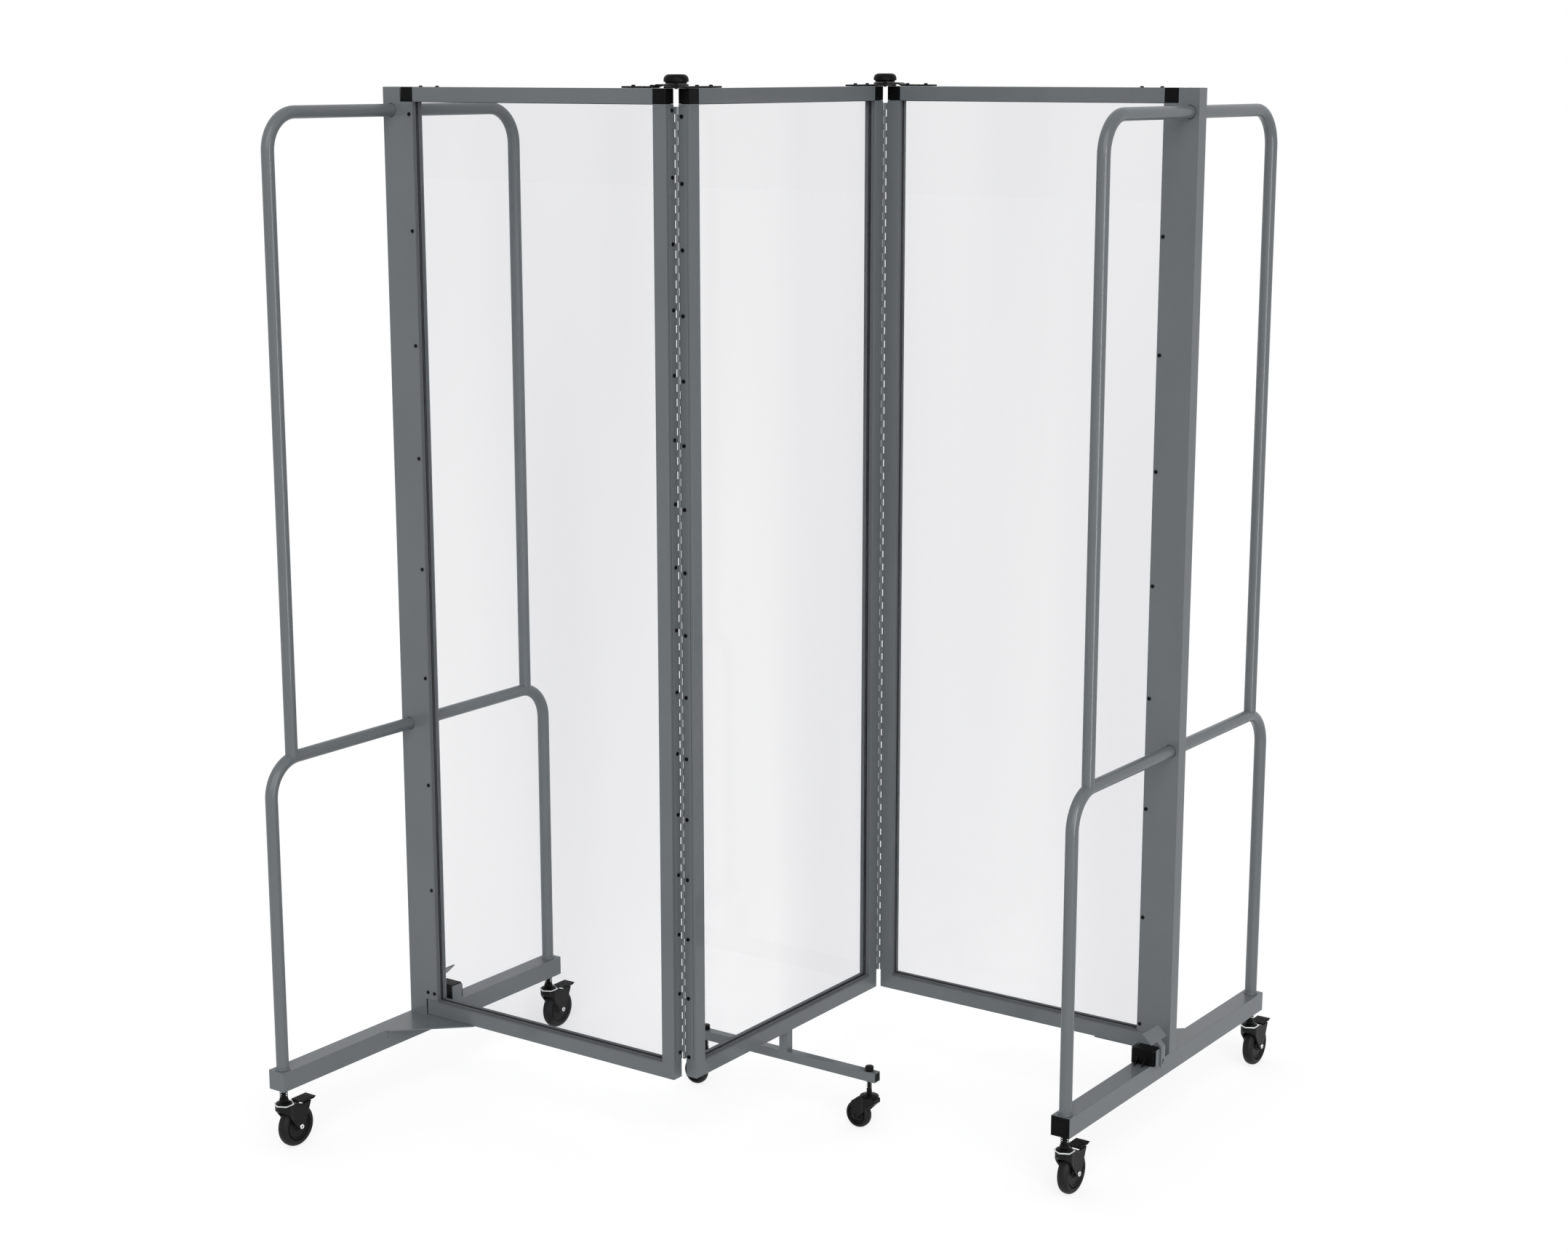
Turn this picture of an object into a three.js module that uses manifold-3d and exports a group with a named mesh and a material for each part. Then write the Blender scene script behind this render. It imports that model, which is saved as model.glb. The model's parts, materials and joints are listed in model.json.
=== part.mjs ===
// Folding room screen of three clear sections between two wheeled end frames.
// Millimetres, +Z up. The middle section runs along Y, the two end sections along X,
// and the floor is the plane that the wheels stand on.
import * as THREE from 'three';
import { mergeVertices } from 'three/addons/utils/BufferGeometryUtils.js';
import Module from 'manifold-3d';

const wasm = await Module();
wasm.setup();

// Clearances and cutting
const SEAT_GAP = 0.3;
const CUT_OVERRUN = 2;
const WELD_LAP = 0.6;

// Sections
const SECTION_WIDTH = 575;
const SECTION_HEIGHT = 1690;
const SECTION_DEPTH = 22.5;
const STILE_WIDTH = 26;
const TOP_RAIL_HEIGHT = 25;
const BOTTOM_RAIL_HEIGHT = 30;
const FRAME_WALL = 1.5;
const GROOVE_DEPTH = 8;
const GLAZING_THICKNESS = 3;
const CORNER_KEY_INSET = 3;
const WEEP_HOLE_RADIUS = 3;
const WEEP_HOLE_FROM_END = 60;
const FIXING_HOLE_RADIUS = 2;
const FIXING_FROM_END = 35.4;
const FIXING_PITCH = 38;

// Full-length pin hinges between the sections
const HINGE_HALF_GAP = 5.1;
const PIN_SETBACK = 0.35;
const LEAF_THICKNESS = 1.2;
const LEAF_WIDTH = 17;
const LEAF_END_MARGIN = 4;
const KNUCKLE_RADIUS = 2.25;
const KNUCKLE_BORE_RADIUS = 1.45;
const HINGE_PIN_RADIUS = 1.1;
const KNUCKLE_WEB_THICKNESS = 1.2;
const KNUCKLE_COUNT = 17;
const KNUCKLE_SIDES = 8;

// Top pivot plates and their clamping knobs
const PLATE_THICKNESS = 3;
const PLATE_BAR_WIDTH = 20;
const PLATE_DISC_RADIUS = 20.5;
const PLATE_REACH = 95.5;
const JOGGLE_START = 25;
const JOGGLE_RUN = 8;
const KNOB_RADIUS = 20.6;
const KNOB_HEIGHT = 15.4;
const KNOB_NECK_RADIUS = 17.7;
const KNOB_NECK_HEIGHT = 3.2;
const KNOB_EDGE_RADIUS = 10;
const KNOB_EDGE_STEPS = 2;
const KNOB_BOLT_RADIUS = 3;
const KNOB_BOLT_STICKOUT = 1.5;

// End frames: base rail, post, gusset and latch bracket
const BASE_RAIL_SIZE = 35.5;
const BASE_RAIL_WALL = 2;
const BASE_RAIL_LENGTH = 757;
const POST_REACH = 40;
const POST_WALL = 2;
const POST_NOTCH_CLEARANCE = 1;
const GUSSET_LEG_ALONG_SECTION = 112;
const GUSSET_LEG_ALONG_RAIL = 108;
const GUSSET_THICKNESS = 2;
const GUSSET_FLANGE_HEIGHT = 17.5;
const GUSSET_FLANGE_SHORTFALL = 5;

// Side hoops of round tube
const TUBE_RADIUS = 11;
const TUBE_WALL = 1.6;
const TUBE_SIDES = 12;
const TUBE_BORE_SIDES = 6;
const TUBE_BEND_RADIUS = 64;
const TUBE_BEND_STEPS = 5;
const HOOP_FROM_RAIL_END = 16.1;
const UPPER_HOOP_STEP_IN = 51.6;
const LOWER_HOOP_HEIGHT = 555;
const UPPER_HOOP_DROP = 39.6;

// Latch on each base rail
const BRACKET_SHEET = 2;
const BRACKET_INNER_REACH = -2.5;
const BRACKET_OUTER_REACH = 12;
const BRACKET_FRONT = 87.3;
const BRACKET_BACK = 61.3;
const BRACKET_HEIGHT = 31.5;
const LATCH_PIN_RADIUS = 2.5;
const LATCH_PIN_HEIGHT = 4.6;
const LATCH_PIN_SETBACK = 5.5;
const BLOCK_WIDTH = 43;
const BLOCK_DEPTH = 26;
const BLOCK_HEIGHT = 29;
const BLOCK_OUTER_GAP = 1.5;
const BLOCK_OVERHANG = 5;
const BLOCK_CHAMFER = 4;
const BLOCK_WALL = 3;
const BLOCK_RIB_THICKNESS = 2;
const BLOCK_RIB_PITCH = 14.8;
const BLOCK_RIB_INSET = 10.7;
const BLOCK_RIB_REACH = 13.4;
const BLOCK_RIB_HEIGHT = 15.7;
const LEVER_THICKNESS = 2.5;
const LEVER_SLOT_LENGTH = 4.1;
const LEVER_ARM_WIDTH = 15;
const LEVER_FOOT_DROP = 4;
const LEVER_ARM_HEIGHT = 34.7;
const LEVER_NECK_LENGTH = 12.5;
const LEVER_TREAD_LENGTH = 25;
const LEVER_TREAD_WIDTH = 57;
const LEVER_TREAD_ANGLE = Math.PI / 4;

// Middle foot
const FOOT_RAIL_SIZE = 17.6;
const FOOT_RAIL_WALL = 1.5;
const FOOT_RAIL_LENGTH = 400;
const FOOT_STEM_FROM_END = 17;

// Casters: fork, wheel, stem, spring and pedal share these
const FORK_SIDES_WHEEL_GAP = 1.5;
const FORK_ARM_THICKNESS = 3.5;
const FORK_HEAD_SIDES = 12;
const FORK_ARCH_INSET = 0.5;
const WHEEL_CROWN_GAP = 2.5;
const AXLE_RADIUS = 4;
const AXLE_BOSS_RADIUS = 7;
const AXLE_BOSS_FROM = Math.PI * 1.15;
const AXLE_BOSS_TO = Math.PI * 2;
const AXLE_BOSS_STEPS = 3;
const AXLE_SIDES = 8;
const WHEEL_SIDES = 16;
const WHEEL_RIM_SHARE = 0.78;
const WHEEL_WEB_SHARE = 0.55;
const WHEEL_RIM_SLOPE = 5;
const HUB_WALL = 4.3;
const HUB_FOOT = 5.6;
const TREAD_FLAT = 5;
const TREAD_STEPS = 1;
const KINGPIN_LENGTH = 7.5;
const STEM_SIDES = 8;
const NUT_PLATE_THICKNESS = 2.3;
const SPRING_STEPS_PER_CURL = 8;
const SPRING_SIDES = 5;

// The casters under the end frames and the smaller ones under the foot
const END_CASTER = {
  wheelRadius: 38,
  wheelWidth: 20,
  treadDepth: 8,
  trail: 26,
  headAboveAxle: 46.5,
  headRadius: 16,
  headHeight: 8.5,
  noseReach: 0,
  noseHalfWidth: 0,
  cheekFromStem: 5.6,
  cheekAboveAxle: 31.4,
  archAboveAxle: 24.5,
  rearReach: 25.5,
  rearTopAboveAxle: 41,
  rearTopFrom: 29,
  rearRoomFrom: 26,
  heelReach: 21,
  heelAboveAxle: 30,
  ankleReach: 11,
  ankleAboveAxle: 4,
  stemRadius: 4,
  axleStickout: 2,
  nutPlateRadius: 18.3,
  nutPlateSides: 6,
  nutPlateTurn: THREE.MathUtils.degToRad(28),
  collarRadius: 15,
  collarTopRadius: 8.2,
  domeHeight: 4.5,
  sleeveRadius: 8.2,
  collarHeight: 8.7,
  springHeight: 19,
  springCurls: 4.5,
  springMeanRadius: 6.7,
  springWireRadius: 0.75,
  stopRadius: 7,
  stopHeight: 4,
  stemAboveStop: 14,
};
const FOOT_CASTER = {
  wheelRadius: 25,
  wheelWidth: 18,
  treadDepth: 5.5,
  trail: 23,
  headAboveAxle: 37.5,
  headRadius: 16.5,
  headHeight: 8,
  noseReach: 18.2,
  noseHalfWidth: 9,
  cheekFromStem: 6,
  cheekAboveAxle: 20,
  archAboveAxle: 14,
  rearReach: 7.6,
  rearTopAboveAxle: 27,
  rearTopFrom: 19,
  rearRoomFrom: 19,
  heelReach: 7.4,
  heelAboveAxle: 20,
  ankleReach: 7.2,
  ankleAboveAxle: 3,
  stemRadius: 3,
  axleStickout: 0.6,
  nutPlateRadius: 17.3,
  nutPlateSides: 8,
  nutPlateTurn: 0,
  collarRadius: 16,
  collarTopRadius: 4.75,
  domeHeight: 3,
  sleeveRadius: 4.75,
  collarHeight: 11,
  springHeight: 17.6,
  springCurls: 4,
  springMeanRadius: 4.5,
  springWireRadius: 0.6,
  stopRadius: 7.7,
  stopHeight: 9.1,
  stemAboveStop: 0,
};
const END_CASTER_TRAIL_ANGLE = 0;
const FOOT_CASTER_TRAIL_ANGLE = THREE.MathUtils.degToRad(86);

// Brake pedal of the end casters
const PEDAL_WIDTH = 26.6;
const PEDAL_START = 29.6;
const PEDAL_LENGTH = 35.7;
const PEDAL_THICKNESS = 2.8;
const PEDAL_NOSE_RISE = 1.3;
const PEDAL_TOP_ABOVE_AXLE = 44.3;
const PEDAL_RIBS = 5;
const PEDAL_RIB_HEIGHT = 0.6;
const PEDAL_LIP_RISE = 0.6;
const PEDAL_PIVOT_BACK = 46;
const PEDAL_PIVOT_ABOVE_AXLE = 37.8;
const PEDAL_PIVOT_RADIUS = 1.8;
const PEDAL_LUG_RADIUS = 3.2;

// Materials
const steel = () => new THREE.MeshStandardMaterial({ color: 0x70767a, roughness: 0.45, metalness: 0.3 });
const darkSteel = () => new THREE.MeshStandardMaterial({ color: 0x15171a, roughness: 0.5, metalness: 0.3 });
const plastic = () => new THREE.MeshStandardMaterial({ color: 0x17181a, roughness: 0.55, metalness: 0 });
const tyre = () => new THREE.MeshStandardMaterial({ color: 0x1c1d1f, roughness: 0.7, metalness: 0 });
const clear = () => new THREE.MeshStandardMaterial({ color: 0xf2f5f7, roughness: 0.05, metalness: 0 });

// Heights and places worked out from the sizes above
const railUnderside = (caster) =>
  caster.wheelRadius + caster.headAboveAxle + SEAT_GAP + NUT_PLATE_THICKNESS
  + caster.collarHeight + SEAT_GAP + caster.springHeight + SEAT_GAP;
const baseBottom = railUnderside(END_CASTER);
const baseTop = baseBottom + BASE_RAIL_SIZE;
const sectionBottom = baseTop + SEAT_GAP;
const sectionTop = sectionBottom + SECTION_HEIGHT;
const footBottom = railUnderside(FOOT_CASTER);
const footTop = footBottom + FOOT_RAIL_SIZE;
const halfDepth = SECTION_DEPTH / 2;
const grooveWidth = GLAZING_THICKNESS + 2 * SEAT_GAP;
const pinX = halfDepth + PIN_SETBACK;
const pinY = SECTION_WIDTH / 2 + HINGE_HALF_GAP;
const sectionStartX = pinX + HINGE_HALF_GAP;
const sectionEndX = sectionStartX + SECTION_WIDTH;
const sectionMidY = pinY + PIN_SETBACK + halfDepth;
const railCentreOut = POST_REACH - BASE_RAIL_SIZE / 2;
const lowerHoopHalfWidth = BASE_RAIL_LENGTH / 2 - HOOP_FROM_RAIL_END;
const upperHoopHalfWidth = lowerHoopHalfWidth - UPPER_HOOP_STEP_IN;
const postHalfDepth = halfDepth + SEAT_GAP + POST_WALL;
const plateBottom = sectionTop + SEAT_GAP;
const upperPlateBottom = plateBottom + PLATE_THICKNESS + SEAT_GAP;
const knobBottom = upperPlateBottom + PLATE_THICKNESS + SEAT_GAP;

// A closed geometry as a solid, and a solid as a geometry
function solidOf(geometry) {
  const bare = geometry.clone();
  bare.deleteAttribute('normal');
  bare.deleteAttribute('uv');
  const welded = mergeVertices(bare);
  return new wasm.Manifold(new wasm.Mesh({
    numProp: 3,
    vertProperties: new Float32Array(welded.attributes.position.array),
    triVerts: new Uint32Array(welded.index.array),
  }));
}

function geometryOf(solid) {
  const mesh = solid.getMesh();
  const geometry = new THREE.BufferGeometry();
  geometry.setAttribute('position', new THREE.BufferAttribute(new Float32Array(mesh.vertProperties), 3));
  geometry.setIndex(new THREE.BufferAttribute(new Uint32Array(mesh.triVerts), 1));
  return geometry;
}

function joined(solids) {
  return solids.reduce((sum, next) => sum.add(next));
}

function without(solid, cuts) {
  return cuts.reduce((rest, cut) => rest.subtract(cut), solid);
}

// A box between two limits along each axis
function block([x0, x1], [y0, y1], [z0, z1]) {
  const box = new THREE.BoxGeometry(x1 - x0, y1 - y0, z1 - z0);
  box.translate((x0 + x1) / 2, (y0 + y1) / 2, (z0 + z1) / 2);
  return solidOf(box);
}

// A round bar along one axis; a bore gets its flats on the stated radius, so a pin turns in it
function roundBar(axis, radius, [from, to], centre, sides, isBore = false) {
  const corner = isBore ? radius / Math.cos(Math.PI / sides) : radius;
  const bar = new THREE.CylinderGeometry(corner, corner, to - from, sides);
  if (axis === 'x') bar.rotateZ(-Math.PI / 2);
  if (axis === 'z') bar.rotateX(Math.PI / 2);
  const along = new THREE.Vector3(axis === 'x' ? 1 : 0, axis === 'y' ? 1 : 0, axis === 'z' ? 1 : 0);
  const middle = along.multiplyScalar((from + to) / 2).add(centre);
  bar.translate(middle.x, middle.y, middle.z);
  return solidOf(bar);
}

// An outline in the YZ plane, drawn out across X
function acrossX(points, [x0, x1]) {
  const shape = new THREE.Shape(points.map(([y, z]) => new THREE.Vector2(y, z)));
  const drawn = new THREE.ExtrudeGeometry(shape, { depth: x1 - x0, bevelEnabled: false });
  drawn.applyMatrix4(new THREE.Matrix4().makeBasis(
    new THREE.Vector3(0, 1, 0), new THREE.Vector3(0, 0, 1), new THREE.Vector3(1, 0, 0)));
  drawn.translate(x0, 0, 0);
  return solidOf(drawn);
}

// An outline in the XZ plane, drawn out across Y
function acrossY(points, [y0, y1]) {
  const shape = new THREE.Shape(points.map(([x, z]) => new THREE.Vector2(x, z)));
  const drawn = new THREE.ExtrudeGeometry(shape, { depth: y1 - y0, bevelEnabled: false });
  drawn.rotateX(Math.PI / 2);
  drawn.translate(0, y1, 0);
  return solidOf(drawn);
}

// An outline in the XY plane, drawn out upwards
function upwards(points, [z0, z1]) {
  const shape = new THREE.Shape(points.map(([x, y]) => new THREE.Vector2(x, y)));
  const drawn = new THREE.ExtrudeGeometry(shape, { depth: z1 - z0, bevelEnabled: false });
  drawn.translate(0, 0, z0);
  return solidOf(drawn);
}

// A profile of radius and height turned about Z
function turned(profile, sides) {
  const lathe = new THREE.LatheGeometry(profile.map(([r, z]) => new THREE.Vector2(r, z)), sides);
  lathe.rotateX(Math.PI / 2);
  lathe.rotateZ(Math.PI / sides);
  return lathe;
}

// Points on an arc in a plane, end points included
function arcPoints(centreA, centreB, radius, from, to, steps) {
  const points = [];
  for (let i = 0; i <= steps; i += 1) {
    const angle = from + (to - from) * i / steps;
    points.push([centreA + radius * Math.cos(angle), centreB + radius * Math.sin(angle)]);
  }
  return points;
}

// A closed tube through a list of points. Each ring starts from the direction that sideOf gives,
// turned by a share of one side.
function tubeThrough(path, radius, sides, sideOf, turnShare = 1 / 2) {
  const positions = [];
  const triangles = [];
  path.forEach((point, i) => {
    const before = path[Math.max(i - 1, 0)];
    const after = path[Math.min(i + 1, path.length - 1)];
    const into = point.clone().sub(before).normalize();
    const out = after.clone().sub(point).normalize();
    const along = into.clone().add(out).normalize();
    const side = sideOf(point).clone().normalize();
    const up = new THREE.Vector3().crossVectors(along, side).normalize();
    for (let k = 0; k < sides; k += 1) {
      const turn = 2 * Math.PI * (k + turnShare) / sides;
      const ring = point.clone();
      ring.addScaledVector(side, radius * Math.cos(turn));
      ring.addScaledVector(up, radius * Math.sin(turn));
      positions.push(ring.x, ring.y, ring.z);
    }
  });
  for (let i = 0; i + 1 < path.length; i += 1) {
    for (let k = 0; k < sides; k += 1) {
      const a = i * sides + k;
      const b = i * sides + (k + 1) % sides;
      triangles.push(a, b, b + sides, a, b + sides, a + sides);
    }
  }
  const last = (path.length - 1) * sides;
  for (let k = 1; k + 1 < sides; k += 1) {
    triangles.push(0, k + 1, k);
    triangles.push(last, last + k, last + k + 1);
  }
  const geometry = new THREE.BufferGeometry();
  geometry.setAttribute('position', new THREE.Float32BufferAttribute(positions, 3));
  geometry.setIndex(triangles);
  return geometry;
}

function piece(name, geometry, material) {
  const flat = geometry.index ? geometry.toNonIndexed() : geometry;
  flat.computeVertexNormals();
  const mesh = new THREE.Mesh(flat, material);
  mesh.name = name;
  return mesh;
}

// Section frame, from its hinged end at x = 0, with the corner keys that its plastic corners cover
function sectionFrame() {
  const top = sectionTop;
  const bottom = sectionBottom;
  const across = [-halfDepth, halfDepth];
  const keyAcross = [-halfDepth + CORNER_KEY_INSET, halfDepth - CORNER_KEY_INSET];
  const boreAcross = [-halfDepth + FRAME_WALL, halfDepth - FRAME_WALL];
  const daylight = block([STILE_WIDTH, SECTION_WIDTH - STILE_WIDTH],
    [-SECTION_DEPTH, SECTION_DEPTH], [bottom + BOTTOM_RAIL_HEIGHT, top - TOP_RAIL_HEIGHT]);
  const groove = block([STILE_WIDTH - GROOVE_DEPTH, SECTION_WIDTH - STILE_WIDTH + GROOVE_DEPTH],
    [-grooveWidth / 2, grooveWidth / 2],
    [bottom + BOTTOM_RAIL_HEIGHT - GROOVE_DEPTH, top - TOP_RAIL_HEIGHT + GROOVE_DEPTH]);
  const corners = [];
  const keys = [];
  const stileBores = [];
  const holes = [];
  for (const atEnd of [false, true]) {
    const from = (a, b) => (atEnd ? [SECTION_WIDTH - b, SECTION_WIDTH - a] : [a, b]);
    corners.push(block(from(-CUT_OVERRUN, STILE_WIDTH + SEAT_GAP), [-SECTION_DEPTH, SECTION_DEPTH],
      [top - TOP_RAIL_HEIGHT, top + CUT_OVERRUN]));
    const keyOutline = [
      [CORNER_KEY_INSET, top - TOP_RAIL_HEIGHT - WELD_LAP],
      [STILE_WIDTH - CORNER_KEY_INSET, top - TOP_RAIL_HEIGHT - WELD_LAP],
      [STILE_WIDTH - CORNER_KEY_INSET, top - TOP_RAIL_HEIGHT + CORNER_KEY_INSET],
      [STILE_WIDTH + WELD_LAP, top - TOP_RAIL_HEIGHT + CORNER_KEY_INSET],
      [STILE_WIDTH + WELD_LAP, top - CORNER_KEY_INSET],
      [CORNER_KEY_INSET, top - CORNER_KEY_INSET],
    ];
    keys.push(acrossY(keyOutline.map(([x, z]) => [atEnd ? SECTION_WIDTH - x : x, z]), keyAcross));
    stileBores.push(block(from(FRAME_WALL, STILE_WIDTH - GROOVE_DEPTH - FRAME_WALL), boreAcross,
      [bottom + FRAME_WALL, top - TOP_RAIL_HEIGHT - FRAME_WALL]));
    const [weepAt] = from(WEEP_HOLE_FROM_END, WEEP_HOLE_FROM_END);
    holes.push(roundBar('z', WEEP_HOLE_RADIUS, [bottom - CUT_OVERRUN, bottom + 2 * FRAME_WALL],
      new THREE.Vector3(weepAt, 0, 0), AXLE_SIDES));
    for (const step of [0, 1]) {
      const reach = FIXING_FROM_END + step * FIXING_PITCH;
      const [holeAt] = from(reach, reach);
      holes.push(roundBar('z', FIXING_HOLE_RADIUS, [top - 2 * FRAME_WALL, top + CUT_OVERRUN],
        new THREE.Vector3(holeAt, 0, 0), AXLE_SIDES));
    }
  }
  const bottomBore = block([FRAME_WALL, SECTION_WIDTH - FRAME_WALL], boreAcross,
    [bottom + FRAME_WALL, bottom + BOTTOM_RAIL_HEIGHT - GROOVE_DEPTH - FRAME_WALL]);
  const topBore = block([STILE_WIDTH + FRAME_WALL, SECTION_WIDTH - STILE_WIDTH - FRAME_WALL], boreAcross,
    [top - TOP_RAIL_HEIGHT + GROOVE_DEPTH + FRAME_WALL, top - FRAME_WALL]);
  const slab = block([0, SECTION_WIDTH], across, [bottom, top]);
  const ring = joined([without(slab, [daylight, ...corners]), ...keys]);
  return geometryOf(without(ring, [groove, bottomBore, topBore, ...stileBores, ...holes]));
}

function glazing() {
  const reach = GROOVE_DEPTH - SEAT_GAP;
  return geometryOf(block([STILE_WIDTH - reach, SECTION_WIDTH - STILE_WIDTH + reach],
    [-GLAZING_THICKNESS / 2, GLAZING_THICKNESS / 2],
    [sectionBottom + BOTTOM_RAIL_HEIGHT - reach, sectionTop - TOP_RAIL_HEIGHT + reach]));
}

// Plastic corner over the key, at the hinged end or, mirrored, at the far end
function cornerCap(atEnd) {
  const from = (a, b) => (atEnd ? [SECTION_WIDTH - b, SECTION_WIDTH - a] : [a, b]);
  const wall = CORNER_KEY_INSET - SEAT_GAP;
  const hollowAcross = [-halfDepth + wall, halfDepth - wall];
  const shell = block(from(0, STILE_WIDTH), [-halfDepth, halfDepth],
    [sectionTop - TOP_RAIL_HEIGHT + SEAT_GAP, sectionTop]);
  const overStile = block(from(wall, STILE_WIDTH - wall), hollowAcross,
    [sectionTop - TOP_RAIL_HEIGHT - CUT_OVERRUN, sectionTop - wall]);
  const towardsRail = block(from(STILE_WIDTH / 2 - SEAT_GAP, STILE_WIDTH + CUT_OVERRUN), hollowAcross,
    [sectionTop - TOP_RAIL_HEIGHT + wall, sectionTop - wall]);
  const sheetSlot = block(from(STILE_WIDTH - GROOVE_DEPTH, STILE_WIDTH + CUT_OVERRUN),
    [-grooveWidth / 2, grooveWidth / 2],
    [sectionTop - TOP_RAIL_HEIGHT - CUT_OVERRUN, sectionTop - TOP_RAIL_HEIGHT + GROOVE_DEPTH]);
  return geometryOf(without(shell, [overStile, towardsRail, sheetSlot]));
}

// Hinge leaf about a pin on the Z axis. The section lies towards x * side, behind y = PIN_SETBACK.
// One leaf carries the pin, the other one's knuckles are bored for it.
function hingeLeaf(side, carriesPin) {
  const span = (a, b) => (side > 0 ? [a, b] : [-b, -a]);
  const bottom = sectionBottom + BOTTOM_RAIL_HEIGHT + LEAF_END_MARGIN;
  const top = sectionTop - TOP_RAIL_HEIGHT - LEAF_END_MARGIN;
  const pitch = (top - bottom) / KNUCKLE_COUNT;
  const axis = new THREE.Vector3();
  const plateFace = HINGE_HALF_GAP - SEAT_GAP;
  const leaf = block(span(plateFace - LEAF_THICKNESS, plateFace), [PIN_SETBACK, LEAF_WIDTH], [bottom, top]);
  const solids = [leaf];
  for (let i = carriesPin ? 0 : 1; i < KNUCKLE_COUNT; i += 2) {
    const rise = [bottom + i * pitch + SEAT_GAP / 2, bottom + (i + 1) * pitch - SEAT_GAP / 2];
    solids.push(roundBar('z', KNUCKLE_RADIUS, rise, axis, KNUCKLE_SIDES));
    solids.push(block(span(0, plateFace), [0, KNUCKLE_WEB_THICKNESS], rise));
  }
  if (carriesPin) {
    solids.push(roundBar('z', HINGE_PIN_RADIUS, [bottom, top], axis, KNUCKLE_SIDES));
    return geometryOf(joined(solids));
  }
  const bore = roundBar('z', KNUCKLE_BORE_RADIUS, [bottom - CUT_OVERRUN, top + CUT_OVERRUN],
    axis, KNUCKLE_SIDES, true);
  return geometryOf(joined(solids).subtract(bore));
}

// Top plates about the same pin axis: the flat one lies under the joggled one
function pivotPlate(side, isJoggled) {
  const span = (a, b) => (side > 0 ? [a, b] : [-b, -a]);
  const middle = PIN_SETBACK + halfDepth;
  const across = [middle - PLATE_BAR_WIDTH / 2, middle + PLATE_BAR_WIDTH / 2];
  const discBottom = isJoggled ? upperPlateBottom : plateBottom;
  const disc = roundBar('z', PLATE_DISC_RADIUS, [discBottom, discBottom + PLATE_THICKNESS],
    new THREE.Vector3(), 2 * TUBE_SIDES);
  const through = [plateBottom - CUT_OVERRUN, knobBottom + CUT_OVERRUN];
  const boltHole = roundBar('z', KNOB_BOLT_RADIUS + SEAT_GAP, through, new THREE.Vector3(), AXLE_SIDES, true);
  const firstScrew = HINGE_HALF_GAP + FIXING_FROM_END;
  const screwHoles = [0, 1].map((step) => roundBar('z', FIXING_HOLE_RADIUS, through,
    new THREE.Vector3(side * (firstScrew + step * FIXING_PITCH), middle, 0), AXLE_SIDES));
  const holes = [boltHole, ...screwHoles];
  if (!isJoggled) {
    const bar = block(span(0, PLATE_REACH), across, [plateBottom, plateBottom + PLATE_THICKNESS]);
    return geometryOf(without(joined([disc, bar]), holes));
  }
  const low = plateBottom;
  const high = upperPlateBottom;
  const profile = [
    [0, high],
    [JOGGLE_START, high],
    [JOGGLE_START + JOGGLE_RUN, low],
    [PLATE_REACH, low],
    [PLATE_REACH, low + PLATE_THICKNESS],
    [JOGGLE_START + JOGGLE_RUN, low + PLATE_THICKNESS],
    [JOGGLE_START, high + PLATE_THICKNESS],
    [0, high + PLATE_THICKNESS],
  ];
  const bar = acrossY(profile.map(([x, z]) => [x * side, z]), across);
  return geometryOf(without(joined([disc, bar]), holes));
}

function knob() {
  const top = knobBottom + KNOB_HEIGHT;
  const skirt = knobBottom + KNOB_NECK_HEIGHT;
  const bolt = plateBottom - KNOB_BOLT_STICKOUT;
  const dome = arcPoints(KNOB_RADIUS - KNOB_EDGE_RADIUS, top - KNOB_EDGE_RADIUS, KNOB_EDGE_RADIUS,
    0, Math.PI / 2, KNOB_EDGE_STEPS);
  return turned([
    [0, bolt],
    [KNOB_BOLT_RADIUS, bolt],
    [KNOB_BOLT_RADIUS, knobBottom],
    [KNOB_NECK_RADIUS, knobBottom],
    [KNOB_NECK_RADIUS, skirt],
    [KNOB_RADIUS, skirt],
    ...dome,
    [0, top],
  ], WHEEL_SIDES);
}

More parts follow.
